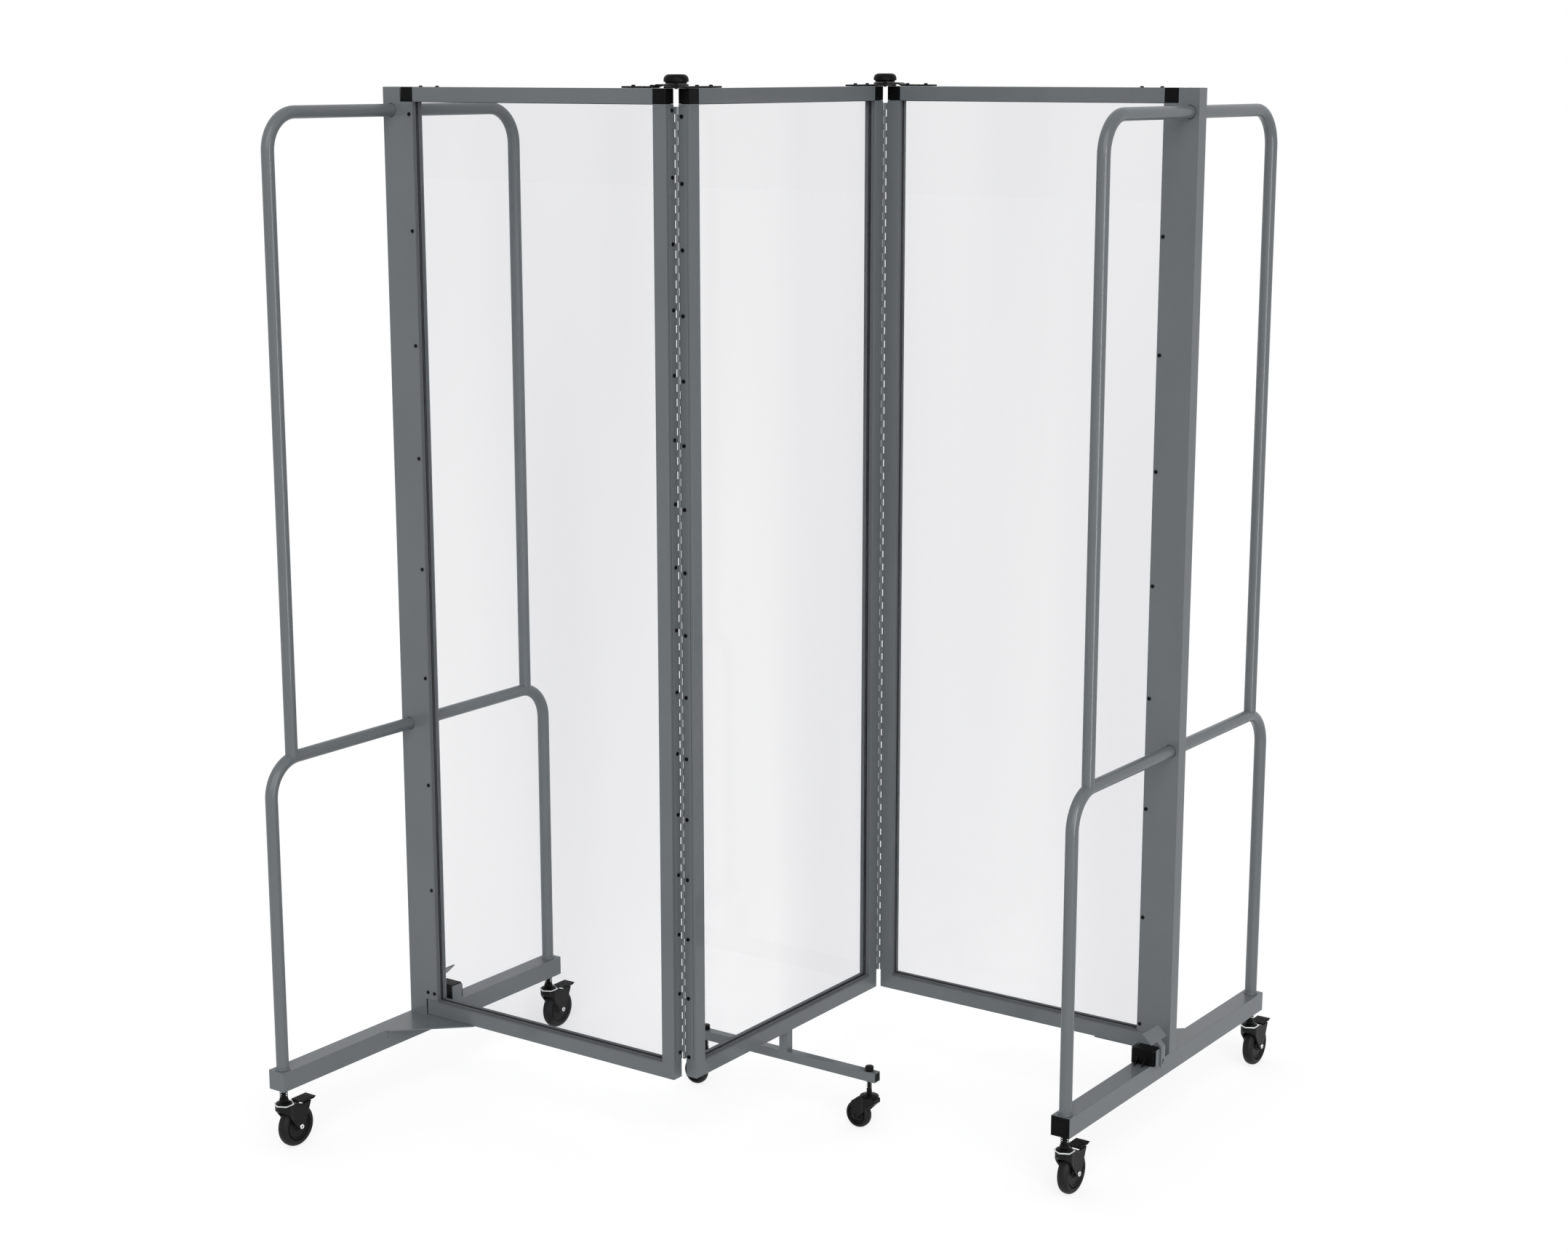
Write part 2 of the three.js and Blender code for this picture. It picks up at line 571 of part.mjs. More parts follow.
// Welded end frame about the section's outer end: x outwards, y along the base rail from the
// section's middle plane. The rail is open at the plugged end and closed at the other.
function endFrame() {
  const railIn = POST_REACH - BASE_RAIL_SIZE;
  const half = BASE_RAIL_LENGTH / 2;
  const wall = BASE_RAIL_WALL;
  const rail = block([railIn, POST_REACH], [-half, half], [baseBottom, baseTop]);
  const railBore = block([railIn + wall, POST_REACH - wall], [-half - CUT_OVERRUN, half - wall],
    [baseBottom + wall, baseTop - wall]);
  const stemHoles = [-1, 1].map((end) => roundBar('z', END_CASTER.stemRadius + SEAT_GAP,
    [baseBottom - CUT_OVERRUN, baseBottom + 2 * wall],
    new THREE.Vector3(railCentreOut, end * lowerHoopHalfWidth, 0), STEM_SIDES, true));
  const post = without(
    block([-STILE_WIDTH, POST_REACH], [-postHalfDepth, postHalfDepth], [baseTop - WELD_LAP, sectionTop]),
    [
      block([-STILE_WIDTH - CUT_OVERRUN, POST_REACH - POST_WALL],
        [-halfDepth - SEAT_GAP, halfDepth + SEAT_GAP], [baseTop, sectionTop + CUT_OVERRUN]),
      block([-STILE_WIDTH - CUT_OVERRUN, POST_NOTCH_CLEARANCE], [-SECTION_DEPTH, SECTION_DEPTH],
        [sectionTop - TOP_RAIL_HEIGHT - SEAT_GAP, sectionTop + CUT_OVERRUN]),
      block([-STILE_WIDTH - CUT_OVERRUN, POST_NOTCH_CLEARANCE], [-SECTION_DEPTH, SECTION_DEPTH],
        [baseBottom, sectionBottom + BOTTOM_RAIL_HEIGHT + SEAT_GAP]),
      ...[lowerHoopZ(), upperHoopZ()].map((z) => roundBar('y', TUBE_RADIUS + SEAT_GAP,
        [-SECTION_DEPTH, SECTION_DEPTH], new THREE.Vector3(railCentreOut, 0, z), TUBE_SIDES, true)),
    ]);
  const solids = [rail.subtract(railBore), post, gusset(railIn), latchBracket()];
  return geometryOf(without(joined(solids), stemHoles));
}

// Plate under the section's bottom rail, with a flange down the base rail's inner side
function gusset(railIn) {
  const plate = upwards([
    [railIn + WELD_LAP, -halfDepth],
    [railIn + WELD_LAP, halfDepth + GUSSET_LEG_ALONG_RAIL],
    [railIn - GUSSET_THICKNESS, halfDepth + GUSSET_LEG_ALONG_RAIL],
    [-GUSSET_LEG_ALONG_SECTION, halfDepth],
    [-GUSSET_LEG_ALONG_SECTION, -halfDepth],
  ], [baseTop - GUSSET_THICKNESS, baseTop]);
  const flange = block([railIn - GUSSET_THICKNESS, railIn + WELD_LAP],
    [-halfDepth, halfDepth + GUSSET_LEG_ALONG_RAIL - GUSSET_FLANGE_SHORTFALL],
    [baseTop - GUSSET_FLANGE_HEIGHT, baseTop]);
  return joined([plate, flange]);
}

// U-shaped bracket across the base rail, with the pin that the lever turns on
function latchBracket() {
  const outer = POST_REACH + BRACKET_OUTER_REACH;
  const along = [-BRACKET_FRONT, -BRACKET_BACK];
  const floor = block([-BRACKET_INNER_REACH, outer], along, [baseTop - WELD_LAP, baseTop + BRACKET_SHEET]);
  const inner = block([-BRACKET_INNER_REACH, -BRACKET_INNER_REACH + BRACKET_SHEET], along,
    [baseTop - WELD_LAP, baseTop + BRACKET_HEIGHT]);
  const cheek = block([outer - BRACKET_SHEET, outer], along, [baseTop - WELD_LAP, baseTop + BRACKET_HEIGHT]);
  const pin = roundBar('x', LATCH_PIN_RADIUS,
    [outer - BRACKET_SHEET, outer + 2 * SEAT_GAP + LEVER_THICKNESS + BRACKET_SHEET / 2],
    new THREE.Vector3(0, latchPinY(), latchPinZ()), AXLE_SIDES);
  return joined([floor, inner, cheek, pin]);
}

function latchPinY() {
  return -BRACKET_BACK - LATCH_PIN_SETBACK;
}

function latchPinZ() {
  return baseTop + LATCH_PIN_HEIGHT;
}

function lowerHoopZ() {
  return baseTop + LOWER_HOOP_HEIGHT;
}

function upperHoopZ() {
  return sectionTop - UPPER_HOOP_DROP;
}

// One bent tube from foot to foot in the YZ plane
function hoopPath(halfWidth, footZ, topZ) {
  const bendY = halfWidth - TUBE_BEND_RADIUS;
  const bendZ = topZ - TUBE_BEND_RADIUS;
  const points = [
    [halfWidth, footZ],
    ...arcPoints(bendY, bendZ, TUBE_BEND_RADIUS, 0, Math.PI / 2, TUBE_BEND_STEPS),
    ...arcPoints(-bendY, bendZ, TUBE_BEND_RADIUS, Math.PI / 2, Math.PI, TUBE_BEND_STEPS),
    [-halfWidth, footZ],
  ];
  return points.map(([y, z]) => new THREE.Vector3(0, y, z));
}

// Lower hoop with the narrower upper one standing on it, both hollow and open at the feet
function sideHoop() {
  const across = () => new THREE.Vector3(1, 0, 0);
  const foot = baseTop + SEAT_GAP;
  const lower = (footZ, radius, sides) => solidOf(tubeThrough(
    hoopPath(lowerHoopHalfWidth, footZ, lowerHoopZ()), radius, sides, across));
  const upper = (footZ, radius, sides) => solidOf(tubeThrough(
    hoopPath(upperHoopHalfWidth, footZ, upperHoopZ()), radius, sides, across, 0));
  const bore = TUBE_RADIUS - TUBE_WALL;
  const outer = lower(foot, TUBE_RADIUS, TUBE_SIDES).add(upper(lowerHoopZ(), TUBE_RADIUS, TUBE_SIDES));
  return geometryOf(without(outer, [
    lower(foot - CUT_OVERRUN, bore, TUBE_BORE_SIDES),
    upper(lowerHoopZ() - WELD_LAP, bore, TUBE_BORE_SIDES),
  ]));
}

// Plastic catch in the bracket, hollow towards the post, with two ribs on its front
function latchBlock() {
  const outer = POST_REACH + BRACKET_OUTER_REACH - BRACKET_SHEET - BLOCK_OUTER_GAP;
  const inner = outer - BLOCK_WIDTH;
  const front = -BRACKET_FRONT - BLOCK_OVERHANG;
  const back = front + BLOCK_DEPTH;
  const bottom = baseTop + BRACKET_SHEET + SEAT_GAP;
  const top = bottom + BLOCK_HEIGHT;
  const body = acrossY([
    [inner, bottom],
    [outer, bottom],
    [outer, top - BLOCK_CHAMFER],
    [outer - BLOCK_CHAMFER, top],
    [inner + BLOCK_CHAMFER, top],
    [inner, top - BLOCK_CHAMFER],
  ], [front, back]);
  const mouth = block([inner + BLOCK_WALL, outer - BLOCK_WALL], [front + BLOCK_WALL, back + CUT_OVERRUN],
    [bottom + BLOCK_WALL, top - BLOCK_WALL]);
  const ribs = [0, 1].map((i) => {
    const at = inner + BLOCK_RIB_INSET + i * BLOCK_RIB_PITCH;
    return acrossX([
      [front + WELD_LAP, bottom],
      [front + WELD_LAP, bottom + BLOCK_RIB_HEIGHT],
      [front - BLOCK_RIB_REACH, bottom],
    ].reverse(), [at, at + BLOCK_RIB_THICKNESS]);
  });
  return geometryOf(joined([body.subtract(mouth), ...ribs]));
}

// Foot lever: an upright arm on the pin, a neck folded inwards and a broad tread
function latchLever() {
  const inside = POST_REACH + BRACKET_OUTER_REACH + SEAT_GAP;
  const outside = inside + LEVER_THICKNESS;
  const foldZ = baseTop + LEVER_ARM_HEIGHT;
  const lean = LEVER_TREAD_ANGLE;
  const along = (length, offset) => [
    outside - length * Math.sin(lean) - offset * Math.cos(lean),
    foldZ + length * Math.cos(lean) - offset * Math.sin(lean),
  ];
  const reach = LEVER_NECK_LENGTH + LEVER_TREAD_LENGTH;
  const innerFoldZ = foldZ - LEVER_THICKNESS * Math.tan(lean / 2);
  const middle = latchPinY();
  const arm = acrossY([
    [inside, baseTop - LEVER_FOOT_DROP],
    [outside, baseTop - LEVER_FOOT_DROP],
    [outside, foldZ],
    along(LEVER_NECK_LENGTH + WELD_LAP, 0),
    along(LEVER_NECK_LENGTH + WELD_LAP, LEVER_THICKNESS),
    [inside, innerFoldZ],
  ], [middle - LEVER_ARM_WIDTH / 2, middle + LEVER_ARM_WIDTH / 2]);
  const tread = acrossY([
    along(LEVER_NECK_LENGTH, 0),
    along(reach, 0),
    along(reach, LEVER_THICKNESS),
    along(LEVER_NECK_LENGTH, LEVER_THICKNESS),
  ], [middle - LEVER_TREAD_WIDTH / 2, middle + LEVER_TREAD_WIDTH / 2]);
  const through = [inside - CUT_OVERRUN, outside + CUT_OVERRUN];
  const slotRadius = LATCH_PIN_RADIUS + SEAT_GAP;
  const slotEnds = [0, LEVER_SLOT_LENGTH].map((rise) => roundBar('x', slotRadius, through,
    new THREE.Vector3(0, middle, latchPinZ() + rise), AXLE_SIDES, true));
  const slotMiddle = block(through, [middle - slotRadius, middle + slotRadius],
    [latchPinZ(), latchPinZ() + LEVER_SLOT_LENGTH]);
  return geometryOf(without(joined([arm, tread]), [...slotEnds, slotMiddle]));
}

// Cross rail under the middle section, hung from a short riser
function middleFoot() {
  const half = FOOT_RAIL_SIZE / 2;
  const wall = FOOT_RAIL_WALL;
  const rail = block([-FOOT_RAIL_LENGTH / 2, FOOT_RAIL_LENGTH / 2], [-half, half], [footBottom, footTop]);
  const bore = block([-FOOT_RAIL_LENGTH / 2 - CUT_OVERRUN, FOOT_RAIL_LENGTH / 2 + CUT_OVERRUN],
    [-half + wall, half - wall], [footBottom + wall, footTop - wall]);
  const riser = block([-half, half], [-half, half], [footTop - WELD_LAP, sectionBottom - SEAT_GAP]);
  const riserBore = block([-half + wall, half - wall], [-half + wall, half - wall],
    [footTop - 2 * wall, sectionBottom + CUT_OVERRUN]);
  const stemHoles = [-1, 1].map((end) => roundBar('z', FOOT_CASTER.stemRadius + SEAT_GAP,
    [footBottom - CUT_OVERRUN, footTop + CUT_OVERRUN],
    new THREE.Vector3(end * footStemX(), 0, 0), STEM_SIDES, true));
  return geometryOf(without(joined([rail, riser]), [bore, riserBore, ...stemHoles]));
}

function footStemX() {
  return FOOT_RAIL_LENGTH / 2 - FOOT_STEM_FROM_END;
}

// Caster stem with its nut plate and collar below the spring and its stop above the rail's wall
function casterStem(caster, wallTop) {
  const plate = caster.wheelRadius + caster.headAboveAxle + SEAT_GAP;
  const collar = plate + NUT_PLATE_THICKNESS;
  const domeTop = collar + caster.domeHeight;
  const collarTop = collar + caster.collarHeight;
  const stop = wallTop + SEAT_GAP;
  const stopTop = stop + caster.stopHeight;
  const profile = [
    [0, plate - KINGPIN_LENGTH],
    [caster.stemRadius, plate - KINGPIN_LENGTH],
    [caster.stemRadius, collar - WELD_LAP],
    [caster.collarRadius, collar - WELD_LAP],
    [caster.collarTopRadius, domeTop],
    ...(collarTop > domeTop ? [[caster.sleeveRadius, collarTop]] : []),
    [caster.stemRadius, collarTop],
    [caster.stemRadius, stop],
    [caster.stopRadius, stop],
    [caster.stopRadius, stopTop],
  ];
  if (caster.stemAboveStop > 0) {
    profile.push([caster.stemRadius, stopTop]);
    profile.push([caster.stemRadius, stopTop + caster.stemAboveStop]);
  }
  profile.push([0, stopTop + caster.stemAboveStop]);
  // The nut plate is a flat polygon under the collar, its last corner one step short of its first
  const nutPlateStep = 2 * Math.PI / caster.nutPlateSides;
  const nutPlate = upwards(arcPoints(0, 0, caster.nutPlateRadius, caster.nutPlateTurn,
    caster.nutPlateTurn + 2 * Math.PI - nutPlateStep, caster.nutPlateSides - 1), [plate, collar]);
  return geometryOf(solidOf(turned(profile, STEM_SIDES)).add(nutPlate));
}

// Coil spring from the collar to the rail's underside. Each end stands upright for one wire
// diameter, square to what it meets.
function springPath(caster) {
  const bottom = railUnderside(caster) - SEAT_GAP - caster.springHeight;
  const top = bottom + caster.springHeight;
  const wire = 2 * caster.springWireRadius;
  const steps = Math.round(caster.springCurls * SPRING_STEPS_PER_CURL);
  const rise = caster.springHeight - 2 * wire;
  const place = (i, z) => {
    const angle = 2 * Math.PI * i / SPRING_STEPS_PER_CURL;
    return new THREE.Vector3(
      caster.springMeanRadius * Math.cos(angle), caster.springMeanRadius * Math.sin(angle), z);
  };
  const path = [place(0, bottom)];
  for (let i = 0; i <= steps; i += 1) {
    path.push(place(i, bottom + wire + rise * i / steps));
  }
  path.push(place(steps, top));
  return path;
}

function leastSelfGap(path, wireRadius) {
  let least = Infinity;
  const apart = SPRING_STEPS_PER_CURL / 2;
  path.forEach((point, i) => {
    path.slice(i + apart).forEach((other) => {
      least = Math.min(least, point.distanceTo(other) - 2 * wireRadius);
    });
  });
  return least;
}

function casterSpring(caster, name) {
  const path = springPath(caster);
  console.log(`${name}: least gap to itself ${leastSelfGap(path, caster.springWireRadius).toFixed(2)} mm`);
  const outwards = (point) => new THREE.Vector3(point.x, point.y, 0);
  return tubeThrough(path, caster.springWireRadius, SPRING_SIDES, outwards);
}

// Moulded fork about the swivel axis, trailing towards +Y, with its axle through both arms. A round
// head and two arms in plan are cut to one side outline, then hollowed for the wheel.
function casterFork(caster, isBraked) {
  const axleZ = caster.wheelRadius;
  const top = axleZ + caster.headAboveAxle;
  const inside = caster.wheelWidth / 2 + FORK_SIDES_WHEEL_GAP;
  const outside = inside + FORK_ARM_THICKNESS;
  const centre = new THREE.Vector3(0, caster.trail, axleZ);
  const front = Math.max(caster.headRadius, caster.noseReach);
  const rear = caster.trail + caster.rearReach;
  const rearTop = axleZ + caster.rearTopAboveAxle;
  const plan = [
    roundBar('z', caster.headRadius, [0, top], new THREE.Vector3(), FORK_HEAD_SIDES),
    block([-outside, outside], [0, rear], [0, top]),
  ];
  if (caster.noseReach > 0) {
    plan.push(block([-caster.noseHalfWidth, caster.noseHalfWidth], [-front, 0], [0, top]));
  }
  const outline = acrossX([
    [-front - CUT_OVERRUN, top + CUT_OVERRUN],
    [-front - CUT_OVERRUN, top - caster.headHeight],
    [-front, top - caster.headHeight],
    [-caster.cheekFromStem, axleZ + caster.cheekAboveAxle],
    ...arcPoints(caster.trail, axleZ, AXLE_BOSS_RADIUS, AXLE_BOSS_FROM, AXLE_BOSS_TO, AXLE_BOSS_STEPS),
    [caster.trail + caster.ankleReach, axleZ + caster.ankleAboveAxle],
    [caster.trail + caster.heelReach, axleZ + caster.heelAboveAxle],
    [rear, rearTop],
    [caster.rearTopFrom, rearTop],
    [caster.headRadius, top],
    [caster.headRadius, top + CUT_OVERRUN],
  ], [-outside - CUT_OVERRUN, outside + CUT_OVERRUN]);
  const wheelRoom = roundBar('x', caster.wheelRadius + WHEEL_CROWN_GAP, [-inside, inside],
    centre, WHEEL_SIDES, true);
  const rearRoom = block([-inside, inside], [caster.rearRoomFrom, rear + CUT_OVERRUN],
    [axleZ, top]);
  const arch = roundBar('y', inside - FORK_ARCH_INSET, [-front - CUT_OVERRUN, caster.trail],
    new THREE.Vector3(0, 0, axleZ + caster.archAboveAxle), FORK_HEAD_SIDES);
  const kingpinHole = roundBar('z', caster.stemRadius + SEAT_GAP,
    [top - KINGPIN_LENGTH - SEAT_GAP, top + CUT_OVERRUN], new THREE.Vector3(), STEM_SIDES, true);
  const cuts = [wheelRoom, rearRoom, arch, kingpinHole];
  if (isBraked) {
    cuts.push(roundBar('x', PEDAL_PIVOT_RADIUS + SEAT_GAP, [-outside - CUT_OVERRUN, outside + CUT_OVERRUN],
      new THREE.Vector3(0, PEDAL_PIVOT_BACK, axleZ + PEDAL_PIVOT_ABOVE_AXLE), AXLE_SIDES, true));
  }
  const axleEnd = outside + caster.axleStickout;
  const axle = roundBar('x', AXLE_RADIUS, [-axleEnd, axleEnd], centre, AXLE_SIDES);
  return geometryOf(without(joined(plan).intersect(outline), cuts).add(axle));
}

// Wheel about its own axle along X, with a crowned tread and a sunk web on both faces
function casterWheel(caster) {
  const corner = Math.cos(Math.PI / WHEEL_SIDES);
  const r = caster.wheelRadius / corner;
  const half = caster.wheelWidth / 2;
  const rim = r * WHEEL_RIM_SHARE;
  const web = half * WHEEL_WEB_SHARE;
  const bore = (AXLE_RADIUS + SEAT_GAP) / corner;
  const tread = [];
  for (let i = 0; i <= TREAD_STEPS; i += 1) {
    const turn = Math.PI / 2 * i / TREAD_STEPS;
    const across = TREAD_FLAT / 2 + (half - TREAD_FLAT / 2) * Math.sin(turn);
    tread.push([r - caster.treadDepth * (1 - Math.cos(turn)), across]);
  }
  const near = [...tread].reverse().map(([radius, across]) => [radius, -across]);
  const profile = [
    [bore, -half],
    [bore + HUB_WALL, -half],
    [bore + HUB_FOOT, -web],
    [rim - WHEEL_RIM_SLOPE, -web],
    [rim, -half],
    ...near,
    ...tread,
    [rim, half],
    [rim - WHEEL_RIM_SLOPE, web],
    [bore + HUB_FOOT, web],
    [bore + HUB_WALL, half],
    [bore, half],
    [bore, -half],
  ];
  const wheel = turned(profile, WHEEL_SIDES);
  wheel.rotateY(Math.PI / 2);
  return wheel;
}

// Ribbed brake pedal on its pivot between the fork's arms
function brakePedal(caster) {
  const axleZ = caster.wheelRadius;
  const inside = caster.wheelWidth / 2 + FORK_SIDES_WHEEL_GAP;
  const top = axleZ + PEDAL_TOP_ABOVE_AXLE;
  const end = PEDAL_START + PEDAL_LENGTH;
  const ribPitch = PEDAL_LENGTH / (PEDAL_RIBS + 1);
  const upperSide = [];
  for (let i = 0; i < PEDAL_RIBS; i += 1) {
    const at = PEDAL_START + (i + 1 / 2) * ribPitch;
    upperSide.push([at, top], [at, top + PEDAL_RIB_HEIGHT]);
    upperSide.push([at + ribPitch / 2, top + PEDAL_RIB_HEIGHT], [at + ribPitch / 2, top]);
  }
  const outline = [
    [PEDAL_START, top - PEDAL_THICKNESS + PEDAL_NOSE_RISE],
    [PEDAL_PIVOT_BACK - PEDAL_LUG_RADIUS, top - PEDAL_THICKNESS],
    [end - ribPitch, top - PEDAL_THICKNESS],
    [end, top + PEDAL_LIP_RISE - PEDAL_RIB_HEIGHT],
    [end, top + PEDAL_LIP_RISE],
    ...upperSide.reverse(),
    [PEDAL_START, top],
  ];
  const tread = acrossX(outline, [-PEDAL_WIDTH / 2, PEDAL_WIDTH / 2]);
  const pivot = new THREE.Vector3(0, PEDAL_PIVOT_BACK, axleZ + PEDAL_PIVOT_ABOVE_AXLE);
  const lug = inside - FORK_SIDES_WHEEL_GAP / 2;
  const arm = block([-lug, lug], [pivot.y - PEDAL_LUG_RADIUS, pivot.y + PEDAL_LUG_RADIUS],
    [pivot.z, top - PEDAL_THICKNESS + WELD_LAP]);
  const barrel = roundBar('x', PEDAL_LUG_RADIUS, [-lug, lug], pivot, AXLE_SIDES);
  const trunnion = roundBar('x', PEDAL_PIVOT_RADIUS,
    [-inside - FORK_ARM_THICKNESS, inside + FORK_ARM_THICKNESS], pivot, AXLE_SIDES);
  return geometryOf(joined([tread, arm, barrel, trunnion]));
}

// A caster's pieces at a place under a rail, its fork turned by an angle from +Y
function placeCaster(parent, name, caster, x, y, turn, wallTop, isBraked) {
  const stand = new THREE.Group();
  stand.position.set(x, y, 0);
  stand.add(piece(`${name}_stem`, casterStem(caster, wallTop), darkSteel()));
  stand.add(piece(`${name}_spring`, casterSpring(caster, name), darkSteel()));
  const swivel = new THREE.Group();
  swivel.rotation.z = turn;
  swivel.add(piece(`${name}_fork`, casterFork(caster, isBraked), plastic()));
  const wheel = piece(`${name}_wheel`, casterWheel(caster), tyre());
  wheel.position.set(0, caster.trail, caster.wheelRadius);
  swivel.add(wheel);
  if (isBraked) swivel.add(piece(`${name}_pedal`, brakePedal(caster), plastic()));
  stand.add(swivel);
  parent.add(stand);
}

// One end section with its end frame, drawn for the right-hand side
function endSection(side) {
  const section = new THREE.Group();
  const panel = new THREE.Group();
  panel.position.set(sectionStartX, sectionMidY, 0);
  panel.add(piece(`${side}_frame`, sectionFrame(), steel()));
  panel.add(piece(`${side}_glazing`, glazing(), clear()));
  panel.add(piece(`${side}_cap_inner`, cornerCap(false), plastic()));
  panel.add(piece(`${side}_cap_outer`, cornerCap(true), plastic()));
  const hinge = new THREE.Group();
  hinge.position.set(pinX, pinY, 0);
  hinge.add(piece(`${side}_leaf`, hingeLeaf(1, false), steel()));
  hinge.add(piece(`${side}_plate`, pivotPlate(1, true), darkSteel()));
  const end = new THREE.Group();
  end.position.set(sectionEndX, sectionMidY, 0);
  end.add(piece(`${side}_end_frame`, endFrame(), steel()));
  const hoop = piece(`${side}_hoop`, sideHoop(), steel());
  hoop.position.x = railCentreOut;
  end.add(hoop);
  end.add(piece(`${side}_latch_block`, latchBlock(), plastic()));
  end.add(piece(`${side}_latch_lever`, latchLever(), steel()));
  section.add(panel, hinge, end);
  return section;
}

// The middle section with its half of both hinges, its foot and the two knobs
function middleSection() {
  const section = new THREE.Group();
  const panel = new THREE.Group();
  panel.position.y = -SECTION_WIDTH / 2;
  panel.rotation.z = Math.PI / 2;
  panel.add(piece('middle_frame', sectionFrame(), steel()));
  panel.add(piece('middle_glazing', glazing(), clear()));
  panel.add(piece('middle_cap_left', cornerCap(false), plastic()));
  panel.add(piece('middle_cap_right', cornerCap(true), plastic()));
  section.add(panel);
  for (const side of ['left', 'right']) {
    const half = new THREE.Group();
    half.rotation.z = side === 'left' ? Math.PI : 0;
    const hinge = new THREE.Group();
    hinge.position.set(pinX, pinY, 0);
    hinge.rotation.z = Math.PI / 2;
    hinge.add(piece(`middle_leaf_${side}`, hingeLeaf(-1, true), steel()));
    hinge.add(piece(`middle_plate_${side}`, pivotPlate(-1, false), darkSteel()));
    hinge.add(piece(`knob_${side}`, knob(), plastic()));
    half.add(hinge);
    section.add(half);
  }
  section.add(piece('foot_rail', middleFoot(), steel()));
  return section;
}

const group = new THREE.Group();
const model = new THREE.Group();
group.add(model);
model.add(middleSection());
model.add(endSection('right'));
const leftSection = endSection('left');
leftSection.rotation.z = Math.PI;
model.add(leftSection);

const baseWallTop = baseBottom + BASE_RAIL_WALL;
const stemX = sectionEndX + railCentreOut;
for (const [side, sign] of [['left', -1], ['right', 1]]) {
  for (const [end, along] of [['front', -1], ['rear', 1]]) {
    placeCaster(model, `${side}_${end}`, END_CASTER, sign * stemX,
      sign * sectionMidY + along * lowerHoopHalfWidth, END_CASTER_TRAIL_ANGLE, baseWallTop, true);
  }
  placeCaster(model, `foot_${side}`, FOOT_CASTER, sign * footStemX(), 0,
    FOOT_CASTER_TRAIL_ANGLE, footTop, false);
}

// The origin is put on the floor, under the middle of the whole object
const bounds = new THREE.Box3().setFromObject(model);
model.position.set(-(bounds.min.x + bounds.max.x) / 2, -(bounds.min.y + bounds.max.y) / 2, -bounds.min.z);

export default group;
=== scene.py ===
# %% [markdown]
# A folding room screen on wheels. Three clear sheets stand in grey metal frames, joined by two
# full-length pin hinges, with a wheeled end frame and bent-tube side hoops at each outer end.
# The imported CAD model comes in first, as a fixed frame in metres. Each piece below is then
# finished in its place, rides on one moving body of that frame, and gets its own finish.

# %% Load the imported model
import json
import math

import bmesh
import bpy
from mathutils import Matrix, Vector

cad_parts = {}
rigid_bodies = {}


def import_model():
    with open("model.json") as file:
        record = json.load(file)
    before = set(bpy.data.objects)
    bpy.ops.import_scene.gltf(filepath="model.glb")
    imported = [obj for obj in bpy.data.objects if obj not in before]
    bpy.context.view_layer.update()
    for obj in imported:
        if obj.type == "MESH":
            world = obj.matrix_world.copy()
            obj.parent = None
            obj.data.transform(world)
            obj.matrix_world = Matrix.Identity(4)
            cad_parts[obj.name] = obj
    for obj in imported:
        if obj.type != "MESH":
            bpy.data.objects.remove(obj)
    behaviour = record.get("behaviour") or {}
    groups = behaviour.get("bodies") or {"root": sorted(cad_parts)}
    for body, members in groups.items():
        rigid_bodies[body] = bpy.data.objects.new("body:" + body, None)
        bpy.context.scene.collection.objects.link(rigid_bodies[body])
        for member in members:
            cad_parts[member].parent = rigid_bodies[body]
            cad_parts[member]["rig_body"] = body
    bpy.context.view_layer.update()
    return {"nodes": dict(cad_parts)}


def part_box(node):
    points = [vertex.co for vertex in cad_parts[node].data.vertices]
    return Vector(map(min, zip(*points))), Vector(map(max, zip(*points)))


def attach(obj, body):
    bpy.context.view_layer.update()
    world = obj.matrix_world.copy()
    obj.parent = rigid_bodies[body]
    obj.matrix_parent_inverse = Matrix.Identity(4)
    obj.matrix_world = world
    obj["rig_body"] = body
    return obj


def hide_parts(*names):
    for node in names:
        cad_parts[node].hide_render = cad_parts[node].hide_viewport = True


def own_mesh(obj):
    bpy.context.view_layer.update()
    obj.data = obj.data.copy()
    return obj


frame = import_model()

MM = 0.001
nodes = frame["nodes"]
scene = bpy.context.scene
bpy.ops.object.select_all(action="DESELECT")

# %% [markdown]
# The camera stands where a photographer would, a little above the screen's own height and far
# enough back to keep the uprights nearly parallel. Its place was found once by fitting known
# points of the frame to the picture, so only the result is written here. The lens follows from
# the focal length in pixels of a 2156 x 1723 picture and a 36 mm wide sensor.

# %% Camera
CAMERA_PLACE = (2611.9, -3770.8, 1876.9)
CAMERA_TURN = 34.918
CAMERA_DIP = 12.012
FOCAL_PIXELS = 3624.6
PICTURE_WIDTH = 2156
SENSOR_WIDTH = 36

camera_data = bpy.data.cameras.new("camera")
camera_data.sensor_width = SENSOR_WIDTH
camera_data.lens = FOCAL_PIXELS / PICTURE_WIDTH * SENSOR_WIDTH
camera_data.clip_end = 100
camera = bpy.data.objects.new("camera", camera_data)
camera.location = Vector(CAMERA_PLACE) * MM
camera.rotation_euler = (math.radians(90 - CAMERA_DIP), 0, math.radians(CAMERA_TURN))
scene.collection.objects.link(camera)
scene.camera = camera
print("lens", round(camera_data.lens, 2), "mm")

# %% [markdown]
# Shader maths reads best as plain arithmetic. Value wraps one socket, and a number added to it
# or multiplied by it puts in the Math node for that. Finish makes a material and has a method
# for each pattern, so a finish below is a few lines of formula. Patterns read Object coordinates,
# because each finished piece keeps its object at the origin and so its pattern can't slide.

